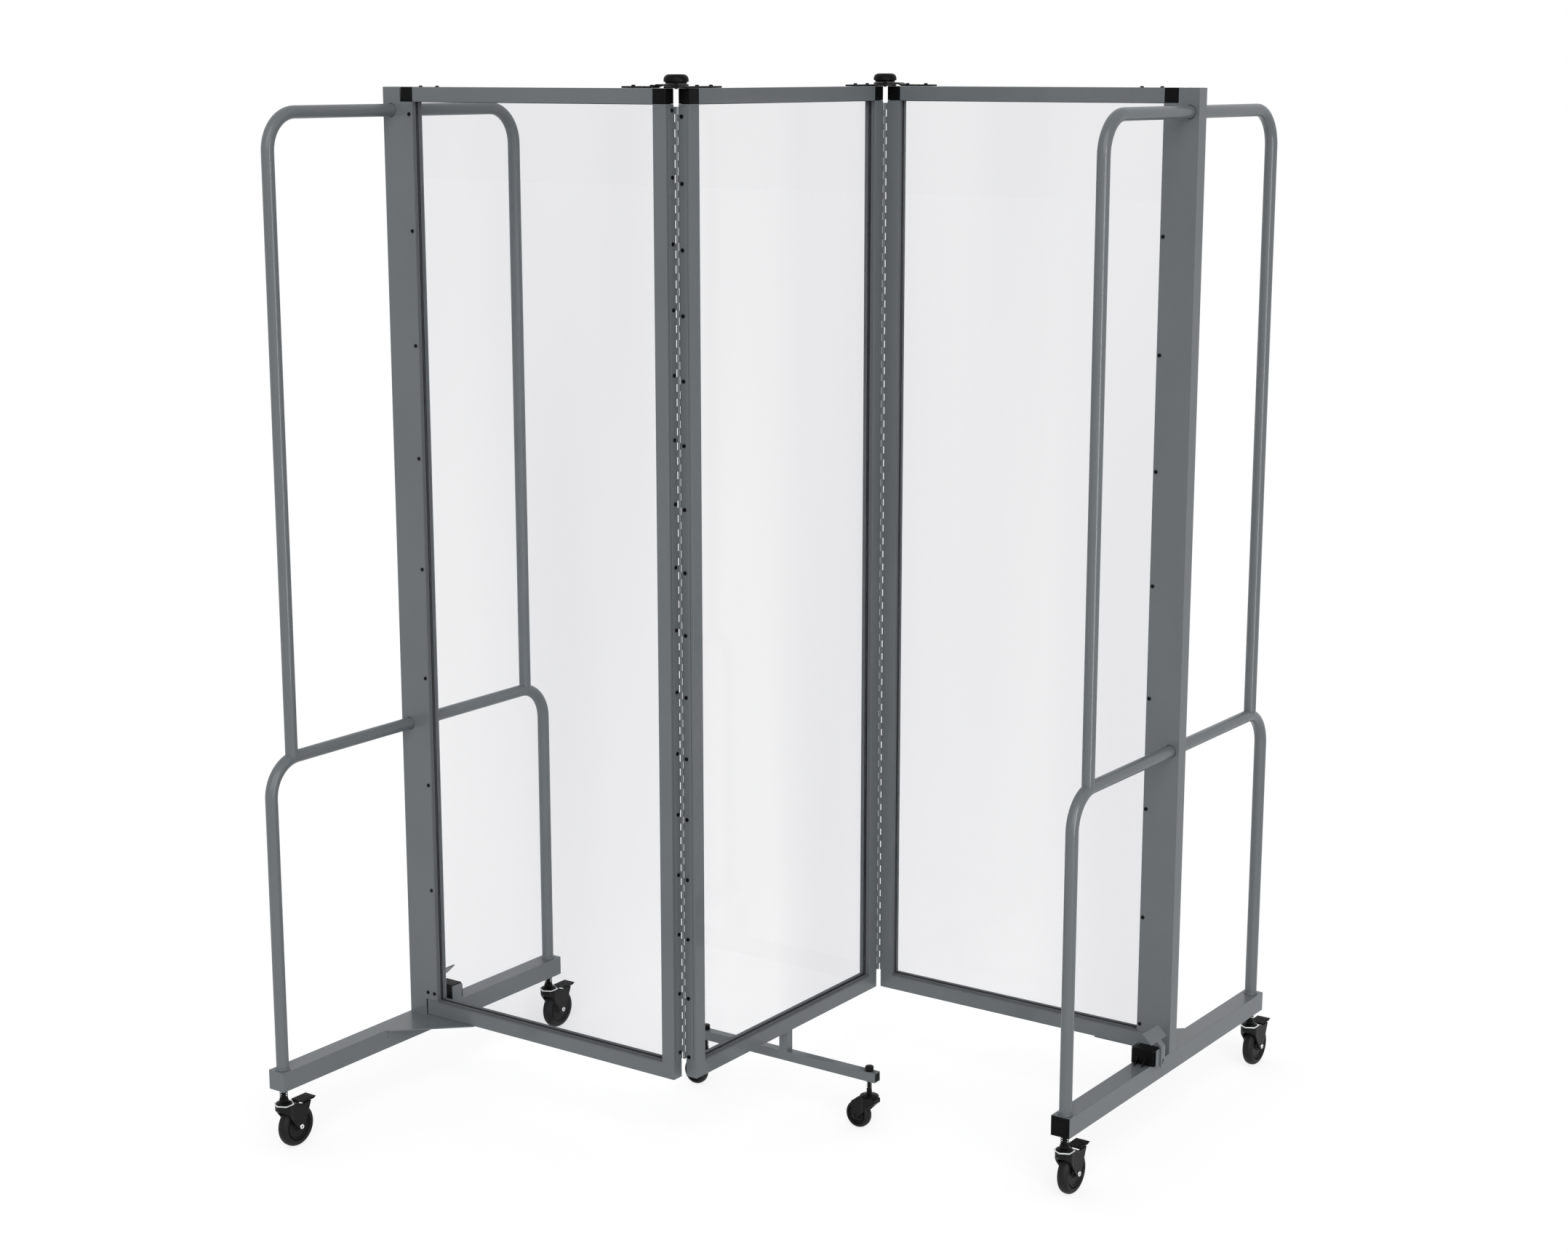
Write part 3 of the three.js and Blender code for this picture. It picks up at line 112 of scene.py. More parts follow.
# %% A small language for finishes
class Value:
    def __init__(self, finish, socket):
        self.finish = finish
        self.socket = socket

    def math(self, operation, other):
        return self.finish.add("ShaderNodeMath", {"operation": operation}, {0: other, 1: self})

    def __radd__(self, other):
        return self.math("ADD", other)

    def __rmul__(self, other):
        return self.math("MULTIPLY", other)


class Finish:
    def __init__(self, name):
        self.material = bpy.data.materials.new(name)
        self.material.use_nodes = True
        self.tree = self.material.node_tree
        self.shader = self.tree.nodes["Principled BSDF"]
        self.place = self.add("ShaderNodeTexCoord", {}, {}, "Object")

    def add(self, kind, settings, inputs, output=0):
        node = self.tree.nodes.new(kind)
        for key, value in settings.items():
            setattr(node, key, value)
        for key, value in inputs.items():
            self.feed(node.inputs[key], value)
        return Value(self, node.outputs[output])

    def feed(self, socket, value):
        if isinstance(value, Value):
            self.tree.links.new(value.socket, socket)
        else:
            socket.default_value = value

    def set(self, **inputs):
        for key, value in inputs.items():
            label = key.replace("_", " ").title().replace("Ior", "IOR")
            self.feed(self.shader.inputs[label], value)

    def noise(self, size_mm, detail):
        return self.add("ShaderNodeTexNoise", {}, {
            "Vector": self.place, "Scale": 1 / (size_mm * MM), "Detail": detail})

    def colour_between(self, share, low, high):
        """The Mix node keeps its colours in sockets 6 and 7 and in output 2."""
        return self.add("ShaderNodeMix", {"data_type": "RGBA"}, {
            "Factor": share, 6: (*low, 1), 7: (*high, 1)}, 2)

    def bump(self, height, depth_mm, strength):
        self.set(Normal=self.add("ShaderNodeBump", {}, {
            "Height": height, "Distance": depth_mm * MM, "Strength": strength}))

    def share(self, value, low, high):
        return self.add("ShaderNodeMapRange", {}, {
            "Value": value, "From Min": low, "From Max": high})


def srgb(red, green, blue):
    """A colour read off a picture, 0 to 255, as the linear numbers that a shader takes."""
    def linear(c):
        c /= 255
        return c / 12.92 if c <= 0.04045 else ((c + 0.055) / 1.055) ** 2.4
    return tuple(linear(c) for c in (red, green, blue))


print("finish helpers ready")

# %% [markdown]
# The frames, hoops and base rails wear a satin grey powder coat. Cured powder has a very fine
# orange peel, about a millimetre across and a few hundredths deep, and hands and trolleys leave
# it slightly more polished in broad patches. Both are noise: one as bump, one as roughness.

# %% Powder coat
coat = Finish("grey_powder_coat")
peel = coat.noise(1.6, 2)
patches = coat.noise(180, 3)
coat.set(
    Base_Color=coat.colour_between(patches, srgb(97, 102, 105), srgb(105, 110, 113)),
    Roughness=0.34 + 0.10 * patches,
    Specular_Ior_Level=0.22,
    Coat_Weight=0.22 + 0.08 * patches,
    Coat_Roughness=0.06)
coat.bump(peel, 0.05, 0.35)
powder_coat = coat.material
print(powder_coat.name)

# %% [markdown]
# The corner caps, plugs, knobs, pedals and catch blocks are moulded in black plastic. A mould is
# spark eroded, which leaves an even fine grain, and the skin is a touch shinier where it was
# pressed hardest. The casters' nylon is greyer and a little rougher, and their treads are soft
# rubber. Two more rubbers, one near black and one grey, seal the sheets in their frames. The
# grey one is darker than the powder coat, and that darkness is painted shade of the frame's reveal.

# %% Moulded plastics and rubber
def moulded(name, dark, pale, grain_mm, depth_mm, rough, shine):
    made = Finish(name)
    grain = made.noise(grain_mm, 2)
    flow = made.noise(25, 2)
    made.set(
        Base_Color=made.colour_between(flow, srgb(*dark), srgb(*pale)),
        Roughness=rough - 0.04 + 0.08 * flow,
        Specular_Ior_Level=shine)
    made.bump(grain, depth_mm, 0.4)
    return made.material


black_plastic = moulded("black_moulded_plastic", (6, 6, 7), (10, 10, 11), 0.6, 0.03, 0.42, 0.08)
caster_nylon = moulded("caster_nylon", (17, 17, 18), (23, 23, 24), 0.7, 0.03, 0.44, 0.12)
tread_rubber = moulded("tread_rubber", (21, 21, 22), (28, 28, 29), 1.1, 0.05, 0.55, 0.15)
seal_rubber = moulded("seal_rubber", (16, 16, 17), (24, 24, 25), 0.8, 0.03, 0.6, 0.15)
# The lip's grey is darker than the coat: painted shade of the frame's inner reveal.
lip_grey_painted_shade = moulded("lip_grey_painted_shade", (88, 91, 93), (95, 98, 100), 0.8, 0.03, 0.6, 0.15)
print("plastics", black_plastic.name, caster_nylon.name, tread_rubber.name)

# %% [markdown]
# Three metals are left. The pivot plates, screws and stems are black-oxide steel, the springs
# oil-blackened spring steel, and the end casters' nut plates and axle heads bright zinc plate.
# Plate is never quite even, so its roughness wanders and its colour has a faint cloud.

# %% Metals
def metal(name, dark, pale, cloud_mm, rough, metallic, grain_mm=0.8, depth_mm=0.015):
    made = Finish(name)
    cloud = made.noise(cloud_mm, 3)
    made.set(
        Base_Color=made.colour_between(cloud, srgb(*dark), srgb(*pale)),
        Roughness=rough - 0.06 + 0.12 * cloud,
        Metallic=metallic,
        Specular_Ior_Level=0.15)
    made.bump(made.noise(grain_mm, 2), depth_mm, 0.3)
    return made.material


black_steel = metal("black_oxide_steel", (12, 12, 13), (20, 20, 21), 14, 0.4, 0.5)
blackened_spring = metal("blackened_spring", (26, 27, 28), (44, 45, 46), 6, 0.36, 0.8)
zinc_plate = metal("zinc_plate", (196, 199, 201), (226, 228, 229), 9, 0.26, 1.0)
print("metals", black_steel.name, blackened_spring.name, zinc_plate.name)

# %% [markdown]
# The sheets are clear cast acrylic. Against a white room the eye reads them as a slightly grey
# film, with faint slanting bands, which are painted reflection streaks. Transmission carries the
# look, with a low refractive index, so that the thin sheet mirrors little. The base colour varies
# slightly along the bands as painted reflection, and shadow rays pass through, as light does
# through a real clear sheet.

# %% Clear sheet
BAND_SLANT = math.radians(36)
BAND_STRETCH = (1.1, 1.1, 0.12)
SHEET_INDEX = 1.12
SHADOW_SHARE = 0.93

sheet = Finish("clear_acrylic")
slanted = sheet.add("ShaderNodeMapping", {}, {
    "Vector": sheet.place, "Rotation": (BAND_SLANT, -BAND_SLANT, 0), "Scale": BAND_STRETCH})
bands = sheet.add("ShaderNodeTexNoise", {}, {"Vector": slanted, "Scale": 2.2, "Detail": 1.5})
# The slanting bands are painted reflection streaks, laid into the sheet's base colour.
painted_reflection = sheet.share(bands, 0.35, 0.65)
sheet.set(
    Base_Color=sheet.colour_between(painted_reflection, srgb(228, 228, 230), srgb(239, 239, 240)),
    Roughness=0.0, Transmission_Weight=1.0, IOR=SHEET_INDEX)
through = sheet.add("ShaderNodeBsdfTransparent", {}, {
    "Color": (SHADOW_SHARE, SHADOW_SHARE, SHADOW_SHARE, 1)})
shadow_ray = sheet.add("ShaderNodeLightPath", {}, {}, "Is Shadow Ray")
seen = Value(sheet, sheet.shader.outputs[0])
blend = sheet.add("ShaderNodeMixShader", {}, {0: shadow_ray, 1: seen, 2: through})
sheet.feed(sheet.tree.nodes["Material Output"].inputs["Surface"], blend)
clear_sheet = sheet.material
print(clear_sheet.name)

# %% [markdown]
# Everything is modelled with the operators that the menus call. Three small helpers do the
# bookkeeping: only() makes one object the selected one, Editing opens edit mode and selects by
# place or normal, and applied() adds a modifier and applies it. rounded() bevels the true edges
# and then weights the normals by area, so that a broad flat face stays optically flat.

# %% Modelling helpers
def only(piece):
    bpy.ops.object.select_all(action="DESELECT")
    piece.select_set(True)
    bpy.context.view_layer.objects.active = piece
    return piece


class Editing:
    def __init__(self, piece):
        self.piece = piece

    def __enter__(self):
        only(self.piece)
        bpy.ops.object.mode_set(mode="EDIT")
        bpy.ops.mesh.select_mode(type="VERT")
        bpy.ops.mesh.select_all(action="DESELECT")
        return self

    def __exit__(self, *problem):
        bpy.ops.object.mode_set(mode="OBJECT")

    def faces(self, test):
        bpy.ops.mesh.select_all(action="DESELECT")
        bpy.ops.mesh.select_mode(type="FACE")
        mesh = bmesh.from_edit_mesh(self.piece.data)
        for face in mesh.faces:
            face.select_set(bool(test(face.calc_center_median() / MM, face.normal)))
        bmesh.update_edit_mesh(self.piece.data)

    def everything(self):
        bpy.ops.mesh.select_mode(type="VERT")
        bpy.ops.mesh.select_all(action="SELECT")


def applied(piece, kind, **settings):
    only(piece)
    modifier = piece.modifiers.new(kind.lower(), kind)
    for key, value in settings.items():
        setattr(modifier, key, value)
    bpy.ops.object.modifier_apply(modifier=modifier.name)
    return piece


def smoothed(piece, degrees=35):
    only(piece)
    bpy.ops.object.shade_smooth_by_angle(angle=math.radians(degrees))
    return piece


def rounded(piece, width_mm, segments=2, degrees=30):
    only(piece)
    bpy.ops.object.shade_smooth()
    applied(piece, "BEVEL", width=width_mm * MM, segments=segments, limit_method="ANGLE",
            angle_limit=math.radians(degrees), use_clamp_overlap=False, miter_outer="MITER_ARC")
    return applied(piece, "WEIGHTED_NORMAL", mode="FACE_AREA", weight=90)


def settled(piece):
    """Moves an object's place, turn and size into its mesh, so that the object is at the origin."""
    only(piece)
    bpy.ops.object.transform_apply(location=True, rotation=True, scale=True)
    return piece


def copied(piece, name, place=Matrix.Identity(4)):
    """Another one of a piece, with its own mesh, moved there by a matrix."""
    another = bpy.data.objects.new(name, piece.data.copy())
    scene.collection.objects.link(another)
    another.data.transform(place)
    if place.determinant() < 0:
        another.data.flip_normals()
    return another


def joined(name, pieces):
    bpy.ops.object.select_all(action="DESELECT")
    for piece in pieces:
        piece.select_set(True)
    bpy.context.view_layer.objects.active = pieces[0]
    bpy.ops.object.join()
    whole = bpy.context.view_layer.objects.active
    whole.name = name
    return whole


def thrown_away(*pieces):
    for piece in pieces:
        bpy.data.objects.remove(piece)


def dressed(piece, finish, body, stands_for=()):
    """Gives a piece its finish, its body and the CAD nodes it stands for."""
    piece.data.materials.clear()
    piece.data.materials.append(finish)
    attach(piece, body)
    if stands_for:
        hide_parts(*stands_for)


def moved(x=0, y=0, z=0):
    return Matrix.Translation(Vector((x, y, z)) * MM)


def turned(degrees, axis="Z"):
    return Matrix.Rotation(math.radians(degrees), 4, axis)


print("modelling helpers ready")

# %% [markdown]
# Most plates, rails and blocks already have the right form in the CAD model, but every edge
# there is knife sharp. A real edge is rolled, tumbled or coated, and shows as a thin highlight.
# So a copy of the CAD mesh is merged, its flat triangles are dissolved into clean faces, and a
# small bevel runs round every true edge. The copy then stands for the node.

# %% Finish a CAD node with rounded edges
CAP_EDGE, FRAME_EDGE, PLATE_EDGE, SHEET_EDGE, PEDAL_EDGE = 0.9, 0.6, 0.5, 0.3, 0.4
SIDES = ("left", "right")
SECTIONS = ("left", "middle", "right")
body_of_node = {name: node["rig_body"] for name, node in nodes.items()}


def finished(node, finish, edge_mm, segments=2):
    piece = bpy.data.objects.new(node + "_finished", nodes[node].data.copy())
    scene.collection.objects.link(piece)
    with Editing(piece) as editing:
        editing.everything()
        bpy.ops.mesh.remove_doubles(threshold=0.004 * MM)
        bpy.ops.mesh.dissolve_limited(angle_limit=math.radians(0.5))
    rounded(piece, edge_mm, segments)
    dressed(piece, finish, body_of_node[node], [node])


for section in SECTIONS:
    finished(section + "_frame", powder_coat, FRAME_EDGE)
for side in SIDES:
    for node in (f"middle_cap_{side}", f"{side}_cap_inner", f"{side}_cap_outer"):
        finished(node, black_plastic, CAP_EDGE, 3)
    for node in (f"middle_plate_{side}", f"{side}_plate"):
        finished(node, black_steel, PLATE_EDGE)
    finished(f"{side}_end_frame", powder_coat, FRAME_EDGE)
    finished(f"{side}_latch_block", black_plastic, PLATE_EDGE)
    finished(f"{side}_latch_lever", powder_coat, PLATE_EDGE)
finished("foot_rail", powder_coat, PLATE_EDGE)
for section in SECTIONS:
    finished(section + "_glazing", clear_sheet, SHEET_EDGE)

# %% [markdown]
# Many pieces here are turned or bent: wheels, knobs, stems, tube. lathed() walks one vertex along
# a profile and spins it once round, as a lathe would leave the shape. The seam is merged, the
# normals are made to point outwards, and an open profile gets its ends closed.

# %% Turn a profile on a lathe
AXES = {"X": (1, 0, 0), "Y": (0, 1, 0), "Z": (0, 0, 1)}


def primitive(name, kind, **settings):
    getattr(bpy.ops.mesh, f"primitive_{kind}_add")(**settings)
    bpy.context.object.name = name
    return settled(bpy.context.object)


def walked(name, path):
    """One vertex, extruded from point to point."""
    piece = primitive(name, "plane", size=MM)
    with Editing(piece) as editing:
        editing.everything()
        bpy.ops.mesh.merge(type="CENTER")
        bpy.ops.transform.translate(value=Vector(path[0]) * MM)
        for here, there in zip(path, path[1:]):
            step = (Vector(there) - Vector(here)) * MM
            bpy.ops.mesh.extrude_region_move(TRANSFORM_OT_translate={"value": step})
    return piece


def closed_up(piece):
    with Editing(piece) as editing:
        editing.everything()
        bpy.ops.mesh.remove_doubles(threshold=0.002 * MM)
        bpy.ops.mesh.select_all(action="DESELECT")
        bpy.ops.mesh.select_mode(type="EDGE")
        bpy.ops.mesh.select_non_manifold(extend=False, use_wire=False, use_multi_face=False,
                                         use_non_contiguous=False, use_verts=False)
        bpy.ops.mesh.edge_face_add()
        editing.everything()
        bpy.ops.mesh.normals_make_consistent(inside=False)
    return piece


def lathed(name, profile, axis="Z", steps=48, smooth=30):
    """profile: pairs of radius and height along the axis, in mm, which is X or Z."""
    piece = walked(name, [(h, r, 0) if axis == "X" else (r, 0, h) for r, h in profile])
    with Editing(piece) as editing:
        editing.everything()
        bpy.ops.mesh.spin(steps=steps, angle=math.tau, center=(0, 0, 0), axis=AXES[axis])
    return smoothed(closed_up(piece), smooth)


print("lathe ready")

# %% [markdown]
# Each side hoop is two bent tubes. A bender draws straight tube round a die, so a circle is
# drawn up, spun a quarter turn about the die's axis, drawn across, spun again and drawn down.
# The upper tube stands on the lower one's crossing. A sheet-metal shop would weld both.

# %% Bent tubes of the side hoops
TUBE_RADIUS, TUBE_SIDES = 11, 32
BEND_RADIUS, BEND_STEPS = 64, 14
HOOP_SEAT = 0.3
UPPER_STEP_IN = 51.6
LOWER_CROSSING = 555
WELD_RADIUS = 1.7
WELD_PUDDLES = 28
WELD_RIPPLE = 0.22
WELD_LIFT = 0.8
WELD_REACH = 0.4


def low(node):
    return Vector(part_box(node)[0]) / MM


def high(node):
    return Vector(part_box(node)[1]) / MM


def middle(node):
    return (low(node) + high(node)) / 2


def drawn(vector):
    bpy.ops.mesh.extrude_region_move(TRANSFORM_OT_translate={"value": Vector(vector) * MM})


def bent_tube(name, x, y, half, foot, top):
    """A hoop across Y, from its two feet up to the middle line of its crossing."""
    rise = top - BEND_RADIUS - foot
    piece = primitive(name, "circle", vertices=TUBE_SIDES, radius=TUBE_RADIUS * MM,
                      fill_type="NOTHING", location=Vector((x, y - half, foot)) * MM)
    with Editing(piece) as editing:
        editing.everything()
        drawn((0, 0, rise))
        for bend_y, run in ((y - half + BEND_RADIUS, (0, 2 * (half - BEND_RADIUS), 0)),
                            (y + half - BEND_RADIUS, (0, 0, -rise))):
            bpy.ops.mesh.spin(steps=BEND_STEPS, angle=math.pi / 2, axis=AXES["X"],
                              center=Vector((x, bend_y, top - BEND_RADIUS)) * MM)
            drawn(run)
    return smoothed(closed_up(piece), 50)


def weld_ring(name, place, radius):
    """A weld round a tube's foot: a flattened ring with a ripple at every puddle."""
    piece = primitive(name, "torus", major_radius=radius * MM, minor_radius=WELD_RADIUS * MM,
                      major_segments=2 * WELD_PUDDLES, minor_segments=8,
                      location=Vector(place) * MM)
    with Editing(piece) as editing:
        centre = Vector(place)
        puddle = math.tau / WELD_PUDDLES

        def on_crest(point, normal):
            angle = math.atan2(point.y - centre.y, point.x - centre.x)
            return (angle / puddle) % 1 < 0.5

        editing.faces(on_crest)
        bpy.ops.transform.shrink_fatten(value=WELD_RIPPLE * MM)
    return smoothed(piece, 60)


half_turn = moved(y=middle("right_frame").y + middle("left_frame").y) @ turned(180)
HALVES = (("right", Matrix.Identity(4)), ("left", half_turn))

hoop_low, hoop_high = low("right_hoop"), high("right_hoop")
hoop_x, hoop_y = middle("right_hoop").x, middle("right_hoop").y
lower_half = (hoop_high.y - hoop_low.y) / 2 - TUBE_RADIUS
upper_half = lower_half - UPPER_STEP_IN
rail_top = hoop_low.z - HOOP_SEAT
crossing = rail_top + LOWER_CROSSING
hoop_parts = [
    bent_tube("lower_hoop", hoop_x, hoop_y, lower_half, hoop_low.z, crossing),
    bent_tube("upper_hoop", hoop_x, hoop_y, upper_half, crossing, hoop_high.z - TUBE_RADIUS),
]
for sign in (-1, 1):
    foot = (hoop_x, hoop_y + sign * lower_half, hoop_low.z + WELD_LIFT)
    hoop_parts.append(weld_ring("foot_weld", foot, TUBE_RADIUS + WELD_REACH))
right_hoop = joined("right_hoop_tubes", hoop_parts)
left_hoop = copied(right_hoop, "left_hoop_tubes", half_turn)
for side, hoop in (("right", right_hoop), ("left", left_hoop)):
    dressed(hoop, powder_coat, f"{side}_section", [f"{side}_hoop"])
print("hoops", [round(v, 1) for v in (hoop_x, hoop_y, lower_half, upper_half, crossing)])

# %% [markdown]
# A pan-head screw is a short cylinder with a driver socket, and a dome head rises towards its
# socket. One of each is modelled, standing on the origin, and every row of screws is a set of
# copies of its mesh. A row on one body becomes one object, since nobody picks single screws from
# the finished part.

# %% Screws
def screw(name, radius, height, rim, socket, dome=0):
    """rim, socket: insets as shares of the radius. dome: a rise as a share of the height."""
    piece = primitive(name, "cylinder", vertices=20, radius=radius * MM, depth=height * MM,
                      location=(0, 0, height / 2 * MM))
    with Editing(piece) as editing:
        editing.faces(lambda point, normal: normal.z > 0.9)
        bpy.ops.mesh.inset(thickness=radius * rim * MM)
        if dome:
            bpy.ops.transform.translate(value=(0, 0, height * dome * MM))
        bpy.ops.mesh.inset(thickness=radius * socket * MM)
        bpy.ops.mesh.extrude_region_move(
            TRANSFORM_OT_translate={"value": (0, 0, -height * 0.5 * MM)})
    return smoothed(piece, 40)


def row(name, pattern, places, body):
    screws = [copied(pattern, "screw", place) for place in places]
    dressed(joined(name, screws), black_steel, body)


pan_screw = screw("pan_screw", 3.4, 1.1, rim=0.22, socket=0.42)
dome_screw = screw("dome_screw", 3.3, 1.8, rim=0.5, socket=0.2, dome=0.3)
print("screws ready")

# %% [markdown]
# The sections are joined by full-length pin hinges, as a maker buys them by the metre. The leaf
# is one plate whose edge is cut into tabs, and each tab is curled round the pin. The two leaves'
# knuckles take turns along the pin. One tab is modelled, and an array repeats it, because a
# dozen plain faces are enough for something that shows as a dotted line.

# %% Hinge leaves
LEAF_NEAR, LEAF_FAR = 3.6, 4.8
LEAF_START = 0.5
KNUCKLE_PAIRS = 67
KNUCKLE_GAP = 0.35
KNUCKLE_RADIUS = 2.2
TAB_NEAR, TAB_LAP, TAB_REACH = (0.6, 0.4), 0.5, 1.6
PIN_RADIUS = 1.3
LEAF_SCREWS = 16
LEAF_SCREW_FIRST = 198.5
LEAF_SCREW_PITCH = 107.2
LEAF_SCREW_DEPTH = 7.75
MIDDLE_SCREW_DROP = 10

leaf_foot, leaf_head = low("right_leaf").z, high("right_leaf").z
knuckle_pitch = (leaf_head - leaf_foot) / (2 * KNUCKLE_PAIRS)
pin = {side: middle(f"knob_{side}") for side in SIDES}
leaf_width = high("right_leaf").y - pin["right"].y


def slab(name, first, second):
    """A box between two corners, to be shaped further."""
    first, second = Vector(first), Vector(second)
    return primitive(name, "cube", size=1, location=(first + second) / 2 * MM,
                     scale=[abs(side) * MM for side in second - first])


def hinge_leaf(name, turn, has_pin):
    plate = slab("plate", (LEAF_NEAR, LEAF_START, leaf_foot), (LEAF_FAR, leaf_width, leaf_head))
    rounded(plate, 0.3)
    base = leaf_foot + turn * knuckle_pitch + KNUCKLE_GAP / 2
    tall = knuckle_pitch - KNUCKLE_GAP
    curl = primitive("curl", "cylinder", vertices=12, radius=KNUCKLE_RADIUS * MM, depth=tall * MM,
                     location=(0, 0, (base + tall / 2) * MM))
    tab = slab("tab", (*TAB_NEAR, base), (LEAF_NEAR + TAB_LAP, TAB_REACH, base + tall))
    knuckles = joined("knuckles", [curl, tab])
    applied(knuckles, "ARRAY", count=KNUCKLE_PAIRS, use_relative_offset=False,
            use_constant_offset=True, constant_offset_displace=(0, 0, 2 * knuckle_pitch * MM))
    parts = [plate, smoothed(knuckles, 40)]
    if has_pin:
        pin_bar = primitive("pin", "cylinder", vertices=16, radius=PIN_RADIUS * MM,
                            depth=(leaf_head - leaf_foot) * MM,
                            location=(0, 0, (leaf_head + leaf_foot) / 2 * MM))
        parts.append(rounded(pin_bar, 0.3))
    return joined(name, parts)


on_end_section = moved(*pin["right"].xy)
on_middle = on_end_section @ Matrix(((0, -1, 0, 0), (-1, 0, 0, 0), (0, 0, 1, 0), (0, 0, 0, 1)))
end_leaf = hinge_leaf("end_leaf_pattern", 1, False)
middle_leaf = hinge_leaf("middle_leaf_pattern", 0, True)
for side, half in HALVES:
    for leaf, place, node, drop in (
            (end_leaf, half @ on_end_section, f"{side}_leaf", 0),
            (middle_leaf, half @ on_middle, f"middle_leaf_{side}", MIDDLE_SCREW_DROP)):
        body = body_of_node[node]
        dressed(copied(leaf, node + "_plate", place), powder_coat, body, [node])
        rises = [LEAF_SCREW_FIRST + i * LEAF_SCREW_PITCH - drop for i in range(LEAF_SCREWS)]
        screws = [place @ moved(LEAF_NEAR, LEAF_SCREW_DEPTH, z) @ turned(-90, "Y") for z in rises]
        row(node + "_screws", pan_screw, screws, body)
thrown_away(end_leaf, middle_leaf)
print("hinge leaves", 2 * KNUCKLE_PAIRS, "knuckles at", round(knuckle_pitch, 2), "mm")

# %% [markdown]
# A long row of screws holds each post to its section's outer stile, one more holds the foot of
# one flange, and two dome screws hold each top plate. The same two sit on the outer end of each
# end section's top rail, where a further section could be added.

# %% Rows of screws
POST_SCREWS = 9
POST_SCREW_FIRST = 195
POST_SCREW_PITCH = 200
POST_SCREW_INSET = 20.3
FOOT_SCREW_INSET = 4.3
POST_HALF_DEPTH = 13.5
TOP_SCREWS_FROM_PIN = (40.5, 78.5)
TOP_SCREWS_FROM_END = (36.5, 74.4)

outer_edge = high("right_frame").x
section_y = middle("right_frame").y
plate_top = high("middle_plate_right").z
frame_top = high("right_frame").z
plate_y = section_y - pin["right"].y
post_screws = [(POST_SCREW_INSET, POST_SCREW_FIRST + i * POST_SCREW_PITCH, face)
               for i in range(POST_SCREWS) for face in (-1, 1)]
post_screws.append((FOOT_SCREW_INSET, POST_SCREW_FIRST, 1))
for side, half in HALVES:
    on_post = [half @ moved(outer_edge - inset, section_y + face * POST_HALF_DEPTH, rise)
               @ turned(-face * 90, "X") for inset, rise, face in post_screws]
    on_end, in_middle = (
        [half @ place @ moved(reach, plate_y, plate_top) for reach in TOP_SCREWS_FROM_PIN]
        for place in (on_end_section, on_middle))
    on_end += [half @ moved(outer_edge - reach, section_y, frame_top)
               for reach in TOP_SCREWS_FROM_END]
    row(f"{side}_post_screws", pan_screw, on_post, f"{side}_section")
    row(f"{side}_top_screws", dome_screw, on_end, f"{side}_section")
    row(f"middle_top_screws_{side}", dome_screw, in_middle, "middle_section")
thrown_away(pan_screw, dome_screw)

# %% [markdown]
# The clamping knob is turned: a narrow neck, a step out to the full width, and a large round
# shoulder that runs into a flat top, so that a palm can press and turn it.

# %% Knobs
KNOB_RADIUS = 20.5
KNOB_NECK = 17.6
KNOB_EDGE = 9
KNOB_SEAT = 0.3
BOLT_RADIUS, BOLT_TIP, BOLT_CHAMFER = 3, 2.6, 0.4
NECK_TALL, NECK_ROUND = 2.2, 0.6
FLARE_OUT, FLARE_FOOT, FLARE_TOP = 0.5, 3.3, 3.9

knob_foot, knob_top = low("knob_right").z, high("knob_right").z
knob_base = high("right_plate").z + KNOB_SEAT


def arc(centre_r, centre_h, radius, start, end, count):
    """Points on a quarter or other part of a circle, in a profile."""
    for i in range(count + 1):
        angle = math.radians(start + (end - start) * i / count)
        yield centre_r + radius * math.cos(angle), centre_h + radius * math.sin(angle)


knob_profile = [
    (0, knob_foot), (BOLT_TIP, knob_foot), (BOLT_RADIUS, knob_foot + BOLT_CHAMFER),
    (BOLT_RADIUS, knob_base), (KNOB_NECK, knob_base),
    *arc(KNOB_NECK - NECK_ROUND, knob_base + NECK_TALL, NECK_ROUND, -30, 60, 2),
    (KNOB_RADIUS - FLARE_OUT, knob_base + FLARE_FOOT), (KNOB_RADIUS, knob_base + FLARE_TOP),
    *arc(KNOB_RADIUS - KNOB_EDGE, knob_top - KNOB_EDGE, KNOB_EDGE, 0, 90, 9),
    (0, knob_top)]
knob = lathed("knob_pattern", knob_profile, steps=64)
for side in SIDES:
    own = f"knob_{side}"
    dressed(copied(knob, own + "_turned", moved(*pin[side].xy)), black_plastic, own,
            [own])
thrown_away(knob)
print("knobs", round(knob_top - knob_base, 1), "mm tall")

# %% [markdown]
# Each sheet sits in its groove between two rubber beads, which the eye reads as a near-black
# line round the clear part. In front of each bead a grey rubber lip lines the frame's inner
# edges, and at the foot it wraps over the bottom rail's face. The lip's grey, darker than the
# coat, is painted shade of the frame's inner reveal. Bead and lip are thin frames: a
# slab's two broad faces are inset, and bridging the two inner faces opens the frame.

# %% Sealing beads and lips
STILE, TOP_RAIL, BOTTOM_RAIL = 26, 25, 30
SHEET_HALF = 1.5
BEAD_WIDTH = 1.0
BEAD_DEPTH = 1.55
BEAD_GAP = 0.05
LIP_SKIN = 0.35
LIP_SETBACK = 0.8
LIP_WRAP = 3.5
LIP_SINK = 0.1
LIP_LAP = 1

frame_low, frame_high = low("right_frame"), high("right_frame")
half_clear = (frame_high.x - frame_low.x) / 2 - STILE
clear_foot, clear_head = frame_low.z + BOTTOM_RAIL, frame_high.z - TOP_RAIL
half_frame = (frame_high.y - frame_low.y) / 2


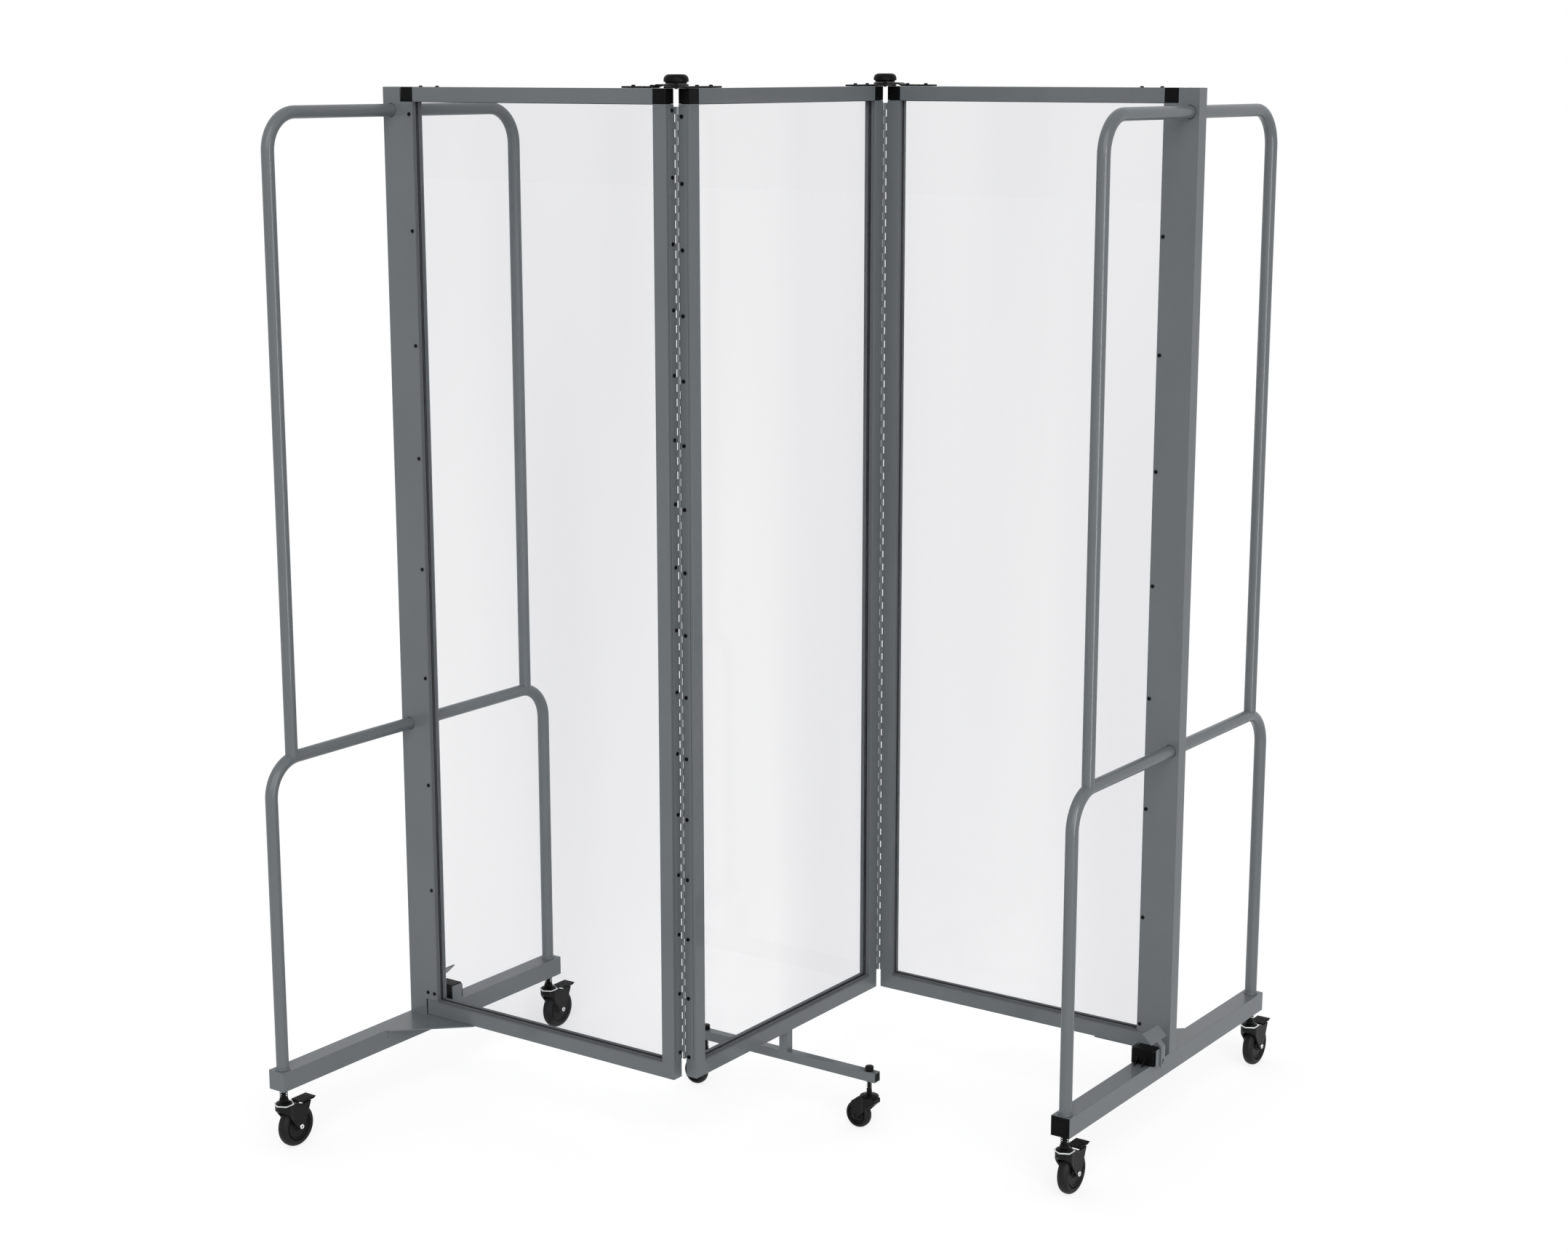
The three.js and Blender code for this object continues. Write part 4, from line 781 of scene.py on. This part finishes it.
def inner_frame(name, front, back, width, round_mm):
    """A thin frame round the clear opening, between two depths in front of the sheet's middle."""
    piece = slab(name, (-half_clear, -front, clear_foot), (half_clear, -back, clear_head))
    with Editing(piece) as editing:
        editing.faces(lambda point, normal: abs(normal.y) > 0.9)
        bpy.ops.mesh.inset(thickness=width * MM)
        bpy.ops.mesh.bridge_edge_loops()
    return rounded(piece, round_mm)


bead_front = SHEET_HALF + BEAD_DEPTH
bead = inner_frame("bead_pattern", bead_front, SHEET_HALF + BEAD_GAP, BEAD_WIDTH, 0.35)
lip = inner_frame("lip_pattern", half_frame - LIP_SETBACK, bead_front + BEAD_GAP, LIP_SKIN, 0.1)
face = slab("lip_face", (-half_clear, -half_frame - LIP_SKIN, clear_foot - LIP_WRAP),
            (half_clear, LIP_SINK - half_frame, clear_foot + LIP_SKIN))
bridge = slab("lip_bridge", (-half_clear, -half_frame - LIP_SKIN, clear_foot - LIP_SINK),
              (half_clear, LIP_SETBACK + LIP_LAP - half_frame, clear_foot + LIP_SKIN))
lip = joined("lip_pattern", [lip, rounded(face, 0.12), rounded(bridge, 0.12)])
for section in SECTIONS:
    centre = middle(section + "_frame")
    upright = moved(centre.x, centre.y) @ turned(90 if section == "middle" else 0)
    for pattern, part, finish, slot in ((bead, "sealing_beads", seal_rubber, "black_plastic"),
                                        (lip, "lips_painted_shade", lip_grey_painted_shade, "grey_coat")):
        both = [copied(pattern, part, upright @ turned(angle)) for angle in (0, 180)]
        dressed(joined(f"{section}_{part}", both), finish, body_of_node[section + "_frame"])
thrown_away(bead, lip)
print("beads and lips", 4 * len(SECTIONS))

# %% [markdown]
# The base rails and the foot rail are square tubes, and an open end gets a push-in plastic plug.
# On the base rails the plug's head covers the whole end. On the foot rail it sits inside the
# tube, so the tube's wall shows round it as a thin lighter line.

# %% Tube plugs
RAIL_SIZE, RAIL_WALL = 35.5, 2
FOOT_RAIL_SIZE, FOOT_RAIL_WALL = 17.6, 1.5
FOOT_PLUG_GAP = 0.1
FOOT_PLUG_SINK = 2.9
PANEL_INSET, PANEL_DEPTH = 0.28, 0.25
SHANK_PLAY = 0.2

rail_front, rail_foot = low("right_end_frame").y, low("right_end_frame").z


def tube_plug(name, half, wall, head, head_lap, shank):
    """A plug in a square tube's end, pushed in along +Y, with its head's back at the origin."""
    reach = half - head_lap
    piece = slab(name, (-reach, -head, -reach), (reach, 0, reach))
    with Editing(piece) as editing:
        editing.faces(lambda point, normal: normal.y < -0.9)
        bpy.ops.mesh.inset(thickness=half * PANEL_INSET * MM)
        drawn((0, PANEL_DEPTH, 0))
        editing.faces(lambda point, normal: normal.y > 0.9)
        bpy.ops.mesh.inset(thickness=(wall + SHANK_PLAY - head_lap) * MM)
        drawn((0, shank, 0))
    return rounded(piece, 0.5, 3)


base_plug = tube_plug("base_plug", RAIL_SIZE / 2, RAIL_WALL, head=1.6, head_lap=0.25, shank=9)
rail_middle_z = (rail_foot + rail_top) / 2
for side, half in HALVES:
    plug = copied(base_plug, f"{side}_rail_plug", half @ moved(hoop_x, rail_front, rail_middle_z))
    dressed(plug, black_plastic, f"{side}_section")
foot_plug = tube_plug("foot_plug", FOOT_RAIL_SIZE / 2 - FOOT_RAIL_WALL - FOOT_PLUG_GAP, 1,
                      head=2.4, head_lap=0, shank=5)
foot_rail_z = low("foot_rail").z + FOOT_RAIL_SIZE / 2
foot_reach = high("foot_rail").x
foot_plugs = []
for end in (-1, 1):
    tip = moved(end * (foot_reach - FOOT_PLUG_SINK), middle("foot_rail").y, foot_rail_z)
    foot_plugs.append(copied(foot_plug, "plug", tip @ turned(end * 90)))
dressed(joined("foot_rail_plugs", foot_plugs), black_plastic, "middle_section")
thrown_away(base_plug, foot_plug)
print("plugs at", round(rail_front, 1), round(foot_reach, 1))

# %% [markdown]
# Two tables hold all that differs between the big braked casters of the end frames and the small
# ones of the foot, in mm: heights from the floor, and reaches from the swivel axis. Every
# piece is drawn standing on that axis, trailing towards +Y, and copied to its stem's place.

# %% Caster sizes
END = dict(
    wheel=38, half=10, crown=8, trail=26, stem=4, head=16, head_tall=8.5, top=84.5,
    cheek=(5.6, 69.4), arch=62.5, rear=51.5, rear_top=79, rear_from=29, room_from=26,
    heel=(47, 68), ankle=(37, 42), nose=0, nose_half=0, plate=(18.3, 6, 28),
    dome=(15, 8.2, 4.5, 8.7), spring=(6.7, 0.75, 4.5), stop=(7, 4, 14), bright=zinc_plate,
    turn=0, stems=("left_front", "left_rear", "right_front", "right_rear"))
FOOT = dict(
    wheel=25, half=9, crown=5.5, trail=23, stem=3, head=16.5, head_tall=8, top=62.5,
    cheek=(6, 45), arch=39, rear=30.6, rear_top=52, rear_from=29.5, room_from=19,
    heel=(30.4, 45), ankle=(30.2, 28), nose=18.2, nose_half=9, plate=(17.3, 48, 0),
    dome=(16, 4.75, 3, 11), spring=(4.5, 0.6, 4), stop=(7.7, 9.1, 0), bright=black_steel,
    turn=86, stems=("foot_left", "foot_right"))
KINDS = (("end", END), ("foot", FOOT))


def stand(kind, name):
    """Where a caster's piece goes: its stem's place, turned to its own trail."""
    at = middle(name + "_spring")
    return moved(at.x, at.y) @ turned(kind["turn"])


def fitted(pattern, kind, node, part, finish, replaces=True):
    """A copy of a caster's pattern at each of its kind's stems, riding on its node's body."""
    for name in kind["stems"]:
        own = f"{name}_{node}"
        piece = copied(pattern, f"{name}_{part}", stand(kind, name))
        dressed(piece, finish, own, [own] if replaces else ())
    thrown_away(pattern)


print("casters", len(END["stems"]) + len(FOOT["stems"]))

# %% [markdown]
# A wheel is a soft tyre moulded over a nylon hub. Both are turned from their cross-section. The
# tyre's tread is crowned, so that it swivels easily, and a groove runs between tyre and hub.

# %% Wheels
HUB_SHARE = 0.70
HUB_LAP = 0.2
BORE = 4.2
TREAD_STEPS = 7
TREAD_FLAT = 1
TYRE_SIDE = ((0, 0.72), (1.0, 0.93), (2.4, 0.99))
HUB_FROM_BORE = ((0, 1), (3.6, 1), (4.4, 0.9), (5.2, 0.68))
HUB_FROM_RIM = ((5.2, 0.62), (4.2, 0.78), (2.6, 0.8), (1.8, 0.5), (0, 0.5))


def both_sides(side, middle_points=()):
    """A wheel's cross-section from one side's points: radius, and distance from the middle."""
    other = [(radius, -across) for radius, across in reversed(side)]
    return [*side, *middle_points, *other, side[0]]


def tyre_profile(kind):
    r, half, crown = kind["wheel"], kind["half"], kind["crown"]
    tread = []
    for i in range(-TREAD_STEPS, TREAD_STEPS + 1):
        turn = math.radians(90 * i / TREAD_STEPS)
        across = (half - TREAD_FLAT) * math.sin(turn) + TREAD_FLAT * ((i > 0) - (i < 0))
        tread.append((r - crown * (1 - math.cos(turn)), across))
    return both_sides([(r * HUB_SHARE + out, -half * share) for out, share in TYRE_SIDE], tread)


def hub_profile(kind):
    half, rim = kind["half"], kind["wheel"] * HUB_SHARE + HUB_LAP
    return both_sides([(BORE + out, -half * share) for out, share in HUB_FROM_BORE]
                      + [(rim - back, -half * share) for back, share in HUB_FROM_RIM])


for label, kind in KINDS:
    axle = moved(y=kind["trail"], z=kind["wheel"])
    for part, profile, finish, slot, replaces in (
            ("tyre", tyre_profile(kind), tread_rubber, "tread", True),
            ("hub", hub_profile(kind), caster_nylon, "caster_plastic", False)):
        pattern = lathed(f"{label}_{part}", profile, axis="X", steps=56, smooth=28)
        pattern.data.transform(axle)
        fitted(pattern, kind, "wheel", part, finish, replaces)

# %% [markdown]
# The stem is turned steel: a kingpin in the fork, a domed collar, a thin rod through the spring
# and the rail, and a stop that keeps it there. Under the collar lies a pressed plate. On the end
# casters it is bright zinc and six-sided, and on the foot it is black.

# %% Stems and their plates
PLATE_LIFT, PLATE_TALL = 0.3, 2.3
STOP_LIFT = 0.3
RIM_HALF = 0.5
CORNER = 0.6
BULGE_OUT, BULGE_UP = 0.45, 0.72


def stem_profile(kind, base, wall_top):
    """From the kingpin's foot up over the collar and the rod to the stop's top."""
    rod = kind["stem"]
    rim, neck, dome, collar = kind["dome"]
    stop, stop_tall, above = kind["stop"]
    collar_foot = kind["top"] + PLATE_LIFT + PLATE_TALL
    neck_foot, collar_top = collar_foot + dome, collar_foot + collar
    stop_foot = wall_top + STOP_LIFT
    stop_top = stop_foot + stop_tall
    profile = [
        (0, base), (rod, base), (rod, collar_foot - RIM_HALF),
        (rim, collar_foot - RIM_HALF), (rim, collar_foot + RIM_HALF),
        (rim - RIM_HALF, collar_foot + 2 * RIM_HALF),
        (neck + (rim - neck) * BULGE_OUT, collar_foot + dome * BULGE_UP),
        (neck + CORNER, neck_foot), (neck, neck_foot + CORNER),
        (neck, collar_top - CORNER), (neck - CORNER, collar_top), (rod, collar_top),
        (rod, stop_foot), (stop - 0.2, stop_foot), (stop, stop_foot + 0.3),
        (stop, stop_top - 1.1), (stop - 0.5, stop_top - 0.35), (stop - 1.3, stop_top)]
    tip = stop_top + above
    if above:
        profile += [(rod, stop_top), (rod, tip - CORNER), (rod - CORNER, tip)]
    return profile + [(0, tip)]


def nut_plate(label, kind):
    radius, sides, first_corner = kind["plate"]
    foot = kind["top"] + PLATE_LIFT
    piece = primitive(label + "_nut_plate", "cylinder", vertices=sides, radius=radius * MM,
                      depth=PLATE_TALL * MM, location=(0, 0, (foot + PLATE_TALL / 2) * MM),
                      rotation=(0, 0, math.radians(first_corner - 90)))
    return rounded(piece, 0.5, 3)


for label, kind in KINDS:
    first = kind["stems"][0] + "_stem"
    _, stop_tall, above = kind["stop"]
    wall_top = high(first).z - stop_tall - above - STOP_LIFT
    pattern = lathed(label + "_stem", stem_profile(kind, low(first).z, wall_top), smooth=28)
    fitted(pattern, kind, "stem", "stem_turned", black_steel)
    fitted(nut_plate(label, kind), kind, "stem", "nut_plate", kind["bright"],
           replaces=False)

# %% [markdown]
# A coil spring has flat closed end turns, so that it stands square. A wire's section is screwed
# up the axis for the open turns, and a ring of the same wire closes each end.

# %% Springs
SPRING_TRAVEL = 8
WIRE_SIDES = 10
CURL_STEPS = 28
RING_STEPS = 32


def coil_spring(label, kind, foot, top):
    mean, wire, curls = kind["spring"]
    steps = int(CURL_STEPS * curls)
    piece = primitive(label + "_spring", "circle", vertices=WIRE_SIDES, radius=wire * MM,
                      fill_type="NOTHING", location=Vector((mean, 0, foot + wire)) * MM,
                      rotation=(math.pi / 2, 0, 0))
    applied(piece, "SCREW", angle=math.tau * curls, steps=steps, render_steps=steps,
            screw_offset=(top - foot - 2 * wire) * MM, use_smooth_shade=True)
    closed_up(piece)
    rings = [primitive("ring", "torus", major_radius=mean * MM, minor_radius=wire * MM,
                       major_segments=RING_STEPS, minor_segments=WIRE_SIDES,
                       location=(0, 0, z * MM)) for z in (foot + wire, top - wire)]
    return smoothed(joined(label + "_spring", [piece, *rings]), 60)


for label, kind in KINDS:
    first = kind["stems"][0] + "_spring"
    foot, top = low(first).z, high(first).z
    pattern = coil_spring(label, kind, foot, top)
    for name in kind["stems"]:
        node = name + "_spring"
        spring = copied(pattern, name + "_coil", stand(kind, name))
        dressed(spring, blackened_spring, body_of_node[node], [node])
        name + "_spring_travel"
        (top - foot - SPRING_TRAVEL) / (top - foot)
        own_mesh(spring)
    thrown_away(pattern)

# %% [markdown]
# A fork is one moulding: a round head, two arms down to the axle and an arch over the wheel. It
# is cut from its plan like the real one from its mould: the side outline trims it, and the wheel's
# room, the pedal's room and the arch are taken out with Boolean modifiers.

# %% Forks
ARM_GAP, ARM_THICK, BOSS, AXLE = 1.5, 3.5, 7, 4
WHEEL_ROOM = 2.5
ARCH_STEP = 0.5
OVER = 2


def bar(name, axis, radius, start, stop, centre=(0, 0, 0), sides=56):
    """A round bar along an axis, from one place on it to another."""
    way = Vector(AXES[axis])
    middle_of_bar = Vector(centre) + way * (start + stop) / 2
    turn = {"X": (0, math.pi / 2, 0), "Y": (math.pi / 2, 0, 0), "Z": (0, 0, 0)}[axis]
    return primitive(name, "cylinder", vertices=sides, radius=radius * MM,
                     depth=(stop - start) * MM, location=middle_of_bar * MM, rotation=turn)


def prism(name, outline, half):
    """A side outline of (y, z) points, drawn across X to both sides."""
    piece = walked(name, [(-half, y, z) for y, z in (*outline, outline[0])])
    with Editing(piece) as editing:
        editing.everything()
        bpy.ops.mesh.remove_doubles(threshold=0.01 * MM)
        bpy.ops.mesh.edge_face_add()
        drawn((2 * half, 0, 0))
        editing.everything()
        bpy.ops.mesh.normals_make_consistent(inside=False)
    return piece


def cut(piece, operation, tool):
    applied(piece, "BOOLEAN", operation=operation, object=tool, solver="EXACT")
    thrown_away(tool)
    return piece


def caster_fork(label, kind):
    inside = kind["half"] + ARM_GAP
    outside = inside + ARM_THICK
    top, trail, axle_z = kind["top"], kind["trail"], kind["wheel"]
    front = max(kind["head"], kind["nose"])
    fork = bar(label + "_fork", "Z", kind["head"], 0, top)
    cut(fork, "UNION", slab("arms", (-outside, 0, 0), (outside, kind["rear"], top)))
    if kind["nose"]:
        nose_half = kind["nose_half"]
        cut(fork, "UNION", slab("nose", (-nose_half, -front, 0), (nose_half, 0, top)))
    head_foot = top - kind["head_tall"]
    cheek_y, cheek_z = kind["cheek"]
    outline = [
        (-front - OVER, top + OVER), (-front - OVER, head_foot), (-front, head_foot),
        (-cheek_y, cheek_z), *arc(trail, axle_z, BOSS, 205, 360, 12),
        kind["ankle"], kind["heel"], (kind["rear"], kind["rear_top"]),
        (kind["rear_from"], kind["rear_top"]), (kind["head"], top), (kind["head"], top + OVER)]
    cut(fork, "INTERSECT", prism("side", outline, outside + OVER))
    hub = (0, trail, axle_z)
    for tool in (
            bar("room", "X", axle_z + WHEEL_ROOM, -inside, inside, hub),
            slab("rear", (-inside, kind["room_from"], axle_z), (inside, kind["rear"] + OVER, top)),
            bar("arch", "Y", inside - ARCH_STEP, -front - OVER, trail, (0, 0, kind["arch"]))):
        cut(fork, "DIFFERENCE", tool)
    rounded(fork, 0.7, degrees=34)
    axle = bar("axle", "X", AXLE, -outside, outside, hub, 32)
    return smoothed(joined(label + "_fork", [fork, axle]), 34)


for label, kind in KINDS:
    fitted(caster_fork(label, kind), kind, "fork", "fork_moulded", caster_nylon)

# %% [markdown]
# Each axle is a bolt with a bright head on one side and its nut on the other. Both are turned
# rings round a sunk dark centre. The foot's axles are plain black rivets.

# %% Axle heads
HEAD_SINK = 0.05
HEAD_RING = ((1.6, 0), (4.5, 0), (4.5, 1.1), (4.0, 1.9), (2.5, 2.2), (1.6, 1.8), (1.6, 0))
RIVET = ((0, 0), (4.6, 0), (4.5, 0.4), (3.6, 0.9), (0, 1.0))

for label, kind in KINDS:
    outside = kind["half"] + ARM_GAP + ARM_THICK
    ring = HEAD_RING if label == "end" else RIVET
    heads = []
    for turn in (0, 180):
        head = lathed("head", [(r, h + outside - HEAD_SINK) for r, h in ring], axis="X", steps=28)
        head.data.transform(turned(turn))
        head.data.transform(moved(y=kind["trail"], z=kind["wheel"]))
        heads.append(head)
    fitted(joined(label + "_axle_heads", heads), kind, "fork", "axle_heads", kind["bright"],
           replaces=False)
for name in END["stems"]:
    finished(name + "_pedal", black_plastic, PEDAL_EDGE)

# %% [markdown]
# The screen stands in a white studio. A pale surround reaches every side, and one broad lamp
# from the camera's side gives the rails a lit and a shaded face. Together they light the faces
# towards the camera at a strength of about one, at which a colour renders as it is written. A
# slim softbox shows only in gloss, where it draws a thin bright line down every tube. To the
# camera, in gloss and through the sheets the floor is part white light, so that it meets the
# backdrop and keeps a faint shadow.

# %% Floor and light
SURROUND = 0.5
BACKDROP = 1
KEY_LIGHT = 1.5
KEY_RISE = 30
KEY_BEARING = 38
KEY_SPREAD = 50
FLOOR_SIZE = 60
FLOOR_WHITE = 0.64
FLOOR_STRENGTH = 1.18


def seen_by_eye(tree):
    """1 for the rays that make the picture: the camera's, and those of gloss and clear parts."""
    paths = tree.nodes.new("ShaderNodeLightPath")
    either = paths.outputs["Is Camera Ray"]
    for kind in ("Is Glossy Ray", "Is Transmission Ray"):
        both = tree.nodes.new("ShaderNodeMath")
        both.operation = "MAXIMUM"
        tree.links.new(either, both.inputs[0])
        tree.links.new(paths.outputs[kind], both.inputs[1])
        either = both.outputs[0]
    return either


bpy.ops.mesh.primitive_plane_add(size=FLOOR_SIZE)
floor = bpy.context.object
floor.name = "studio_floor"
floor_finish = Finish("studio_floor")
floor_finish.set(Base_Color=(0.97, 0.97, 0.97, 1), Roughness=0.9, Specular_Ior_Level=0)
glow = floor_finish.add("ShaderNodeEmission", {}, {"Strength": FLOOR_STRENGTH})
share = FLOOR_WHITE * Value(floor_finish, seen_by_eye(floor_finish.tree))
matt = Value(floor_finish, floor_finish.shader.outputs[0])
floor_finish.feed(floor_finish.tree.nodes["Material Output"].inputs["Surface"],
                  floor_finish.add("ShaderNodeMixShader", {}, {0: share, 1: matt, 2: glow}))
floor.data.materials.append(floor_finish.material)

world = bpy.data.worlds.new("studio")
scene.world = world
world.use_nodes = True
tree = world.node_tree
tree.nodes.clear()
either = tree.nodes.new("ShaderNodeMixShader")
tree.links.new(seen_by_eye(tree), either.inputs[0])
for socket, strength in ((1, SURROUND), (2, BACKDROP)):
    background = tree.nodes.new("ShaderNodeBackground")
    background.inputs["Color"].default_value = (1, 1, 1, 1)
    background.inputs["Strength"].default_value = strength
    tree.links.new(background.outputs[0], either.inputs[socket])
surround = tree.nodes.new("ShaderNodeOutputWorld")
tree.links.new(either.outputs[0], surround.inputs["Surface"])


def sun(name, strength, rise, bearing, spread):
    """Light that falls from a height and a bearing, both in degrees, with a soft edge."""
    data = bpy.data.lights.new(name, "SUN")
    data.energy = strength
    data.angle = math.radians(spread)
    lamp = bpy.data.objects.new(name, data)
    lamp.rotation_euler = (math.radians(90 - rise), 0, math.radians(bearing))
    scene.collection.objects.link(lamp)


def softbox(name, watts, wide, tall, distance, rise, bearing):
    """A standing light panel that faces the screen and shows only in gloss."""
    data = bpy.data.lights.new(name, "AREA")
    data.shape = "RECTANGLE"
    data.size, data.size_y = wide, tall
    data.energy = watts
    panel = bpy.data.objects.new(name, data)
    turn = math.radians(bearing)
    panel.location = (distance * math.sin(turn), -distance * math.cos(turn), rise)
    panel.rotation_euler = (math.pi / 2, 0, turn)
    panel.visible_diffuse = False
    panel.visible_transmission = False
    panel.visible_camera = False
    scene.collection.objects.link(panel)


sun("key_light", KEY_LIGHT, KEY_RISE, KEY_BEARING, KEY_SPREAD)
softbox("slim_softbox", watts=60, wide=0.5, tall=2.6, distance=3.2, rise=1.2, bearing=70)
scene.view_settings.view_transform = "Standard"
key_share = KEY_LIGHT * math.sin(math.radians(KEY_RISE)) / math.pi
print("light at the floor", round(SURROUND + key_share, 2))

# %% Finish
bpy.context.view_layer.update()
bpy.ops.object.select_all(action="DESELECT")
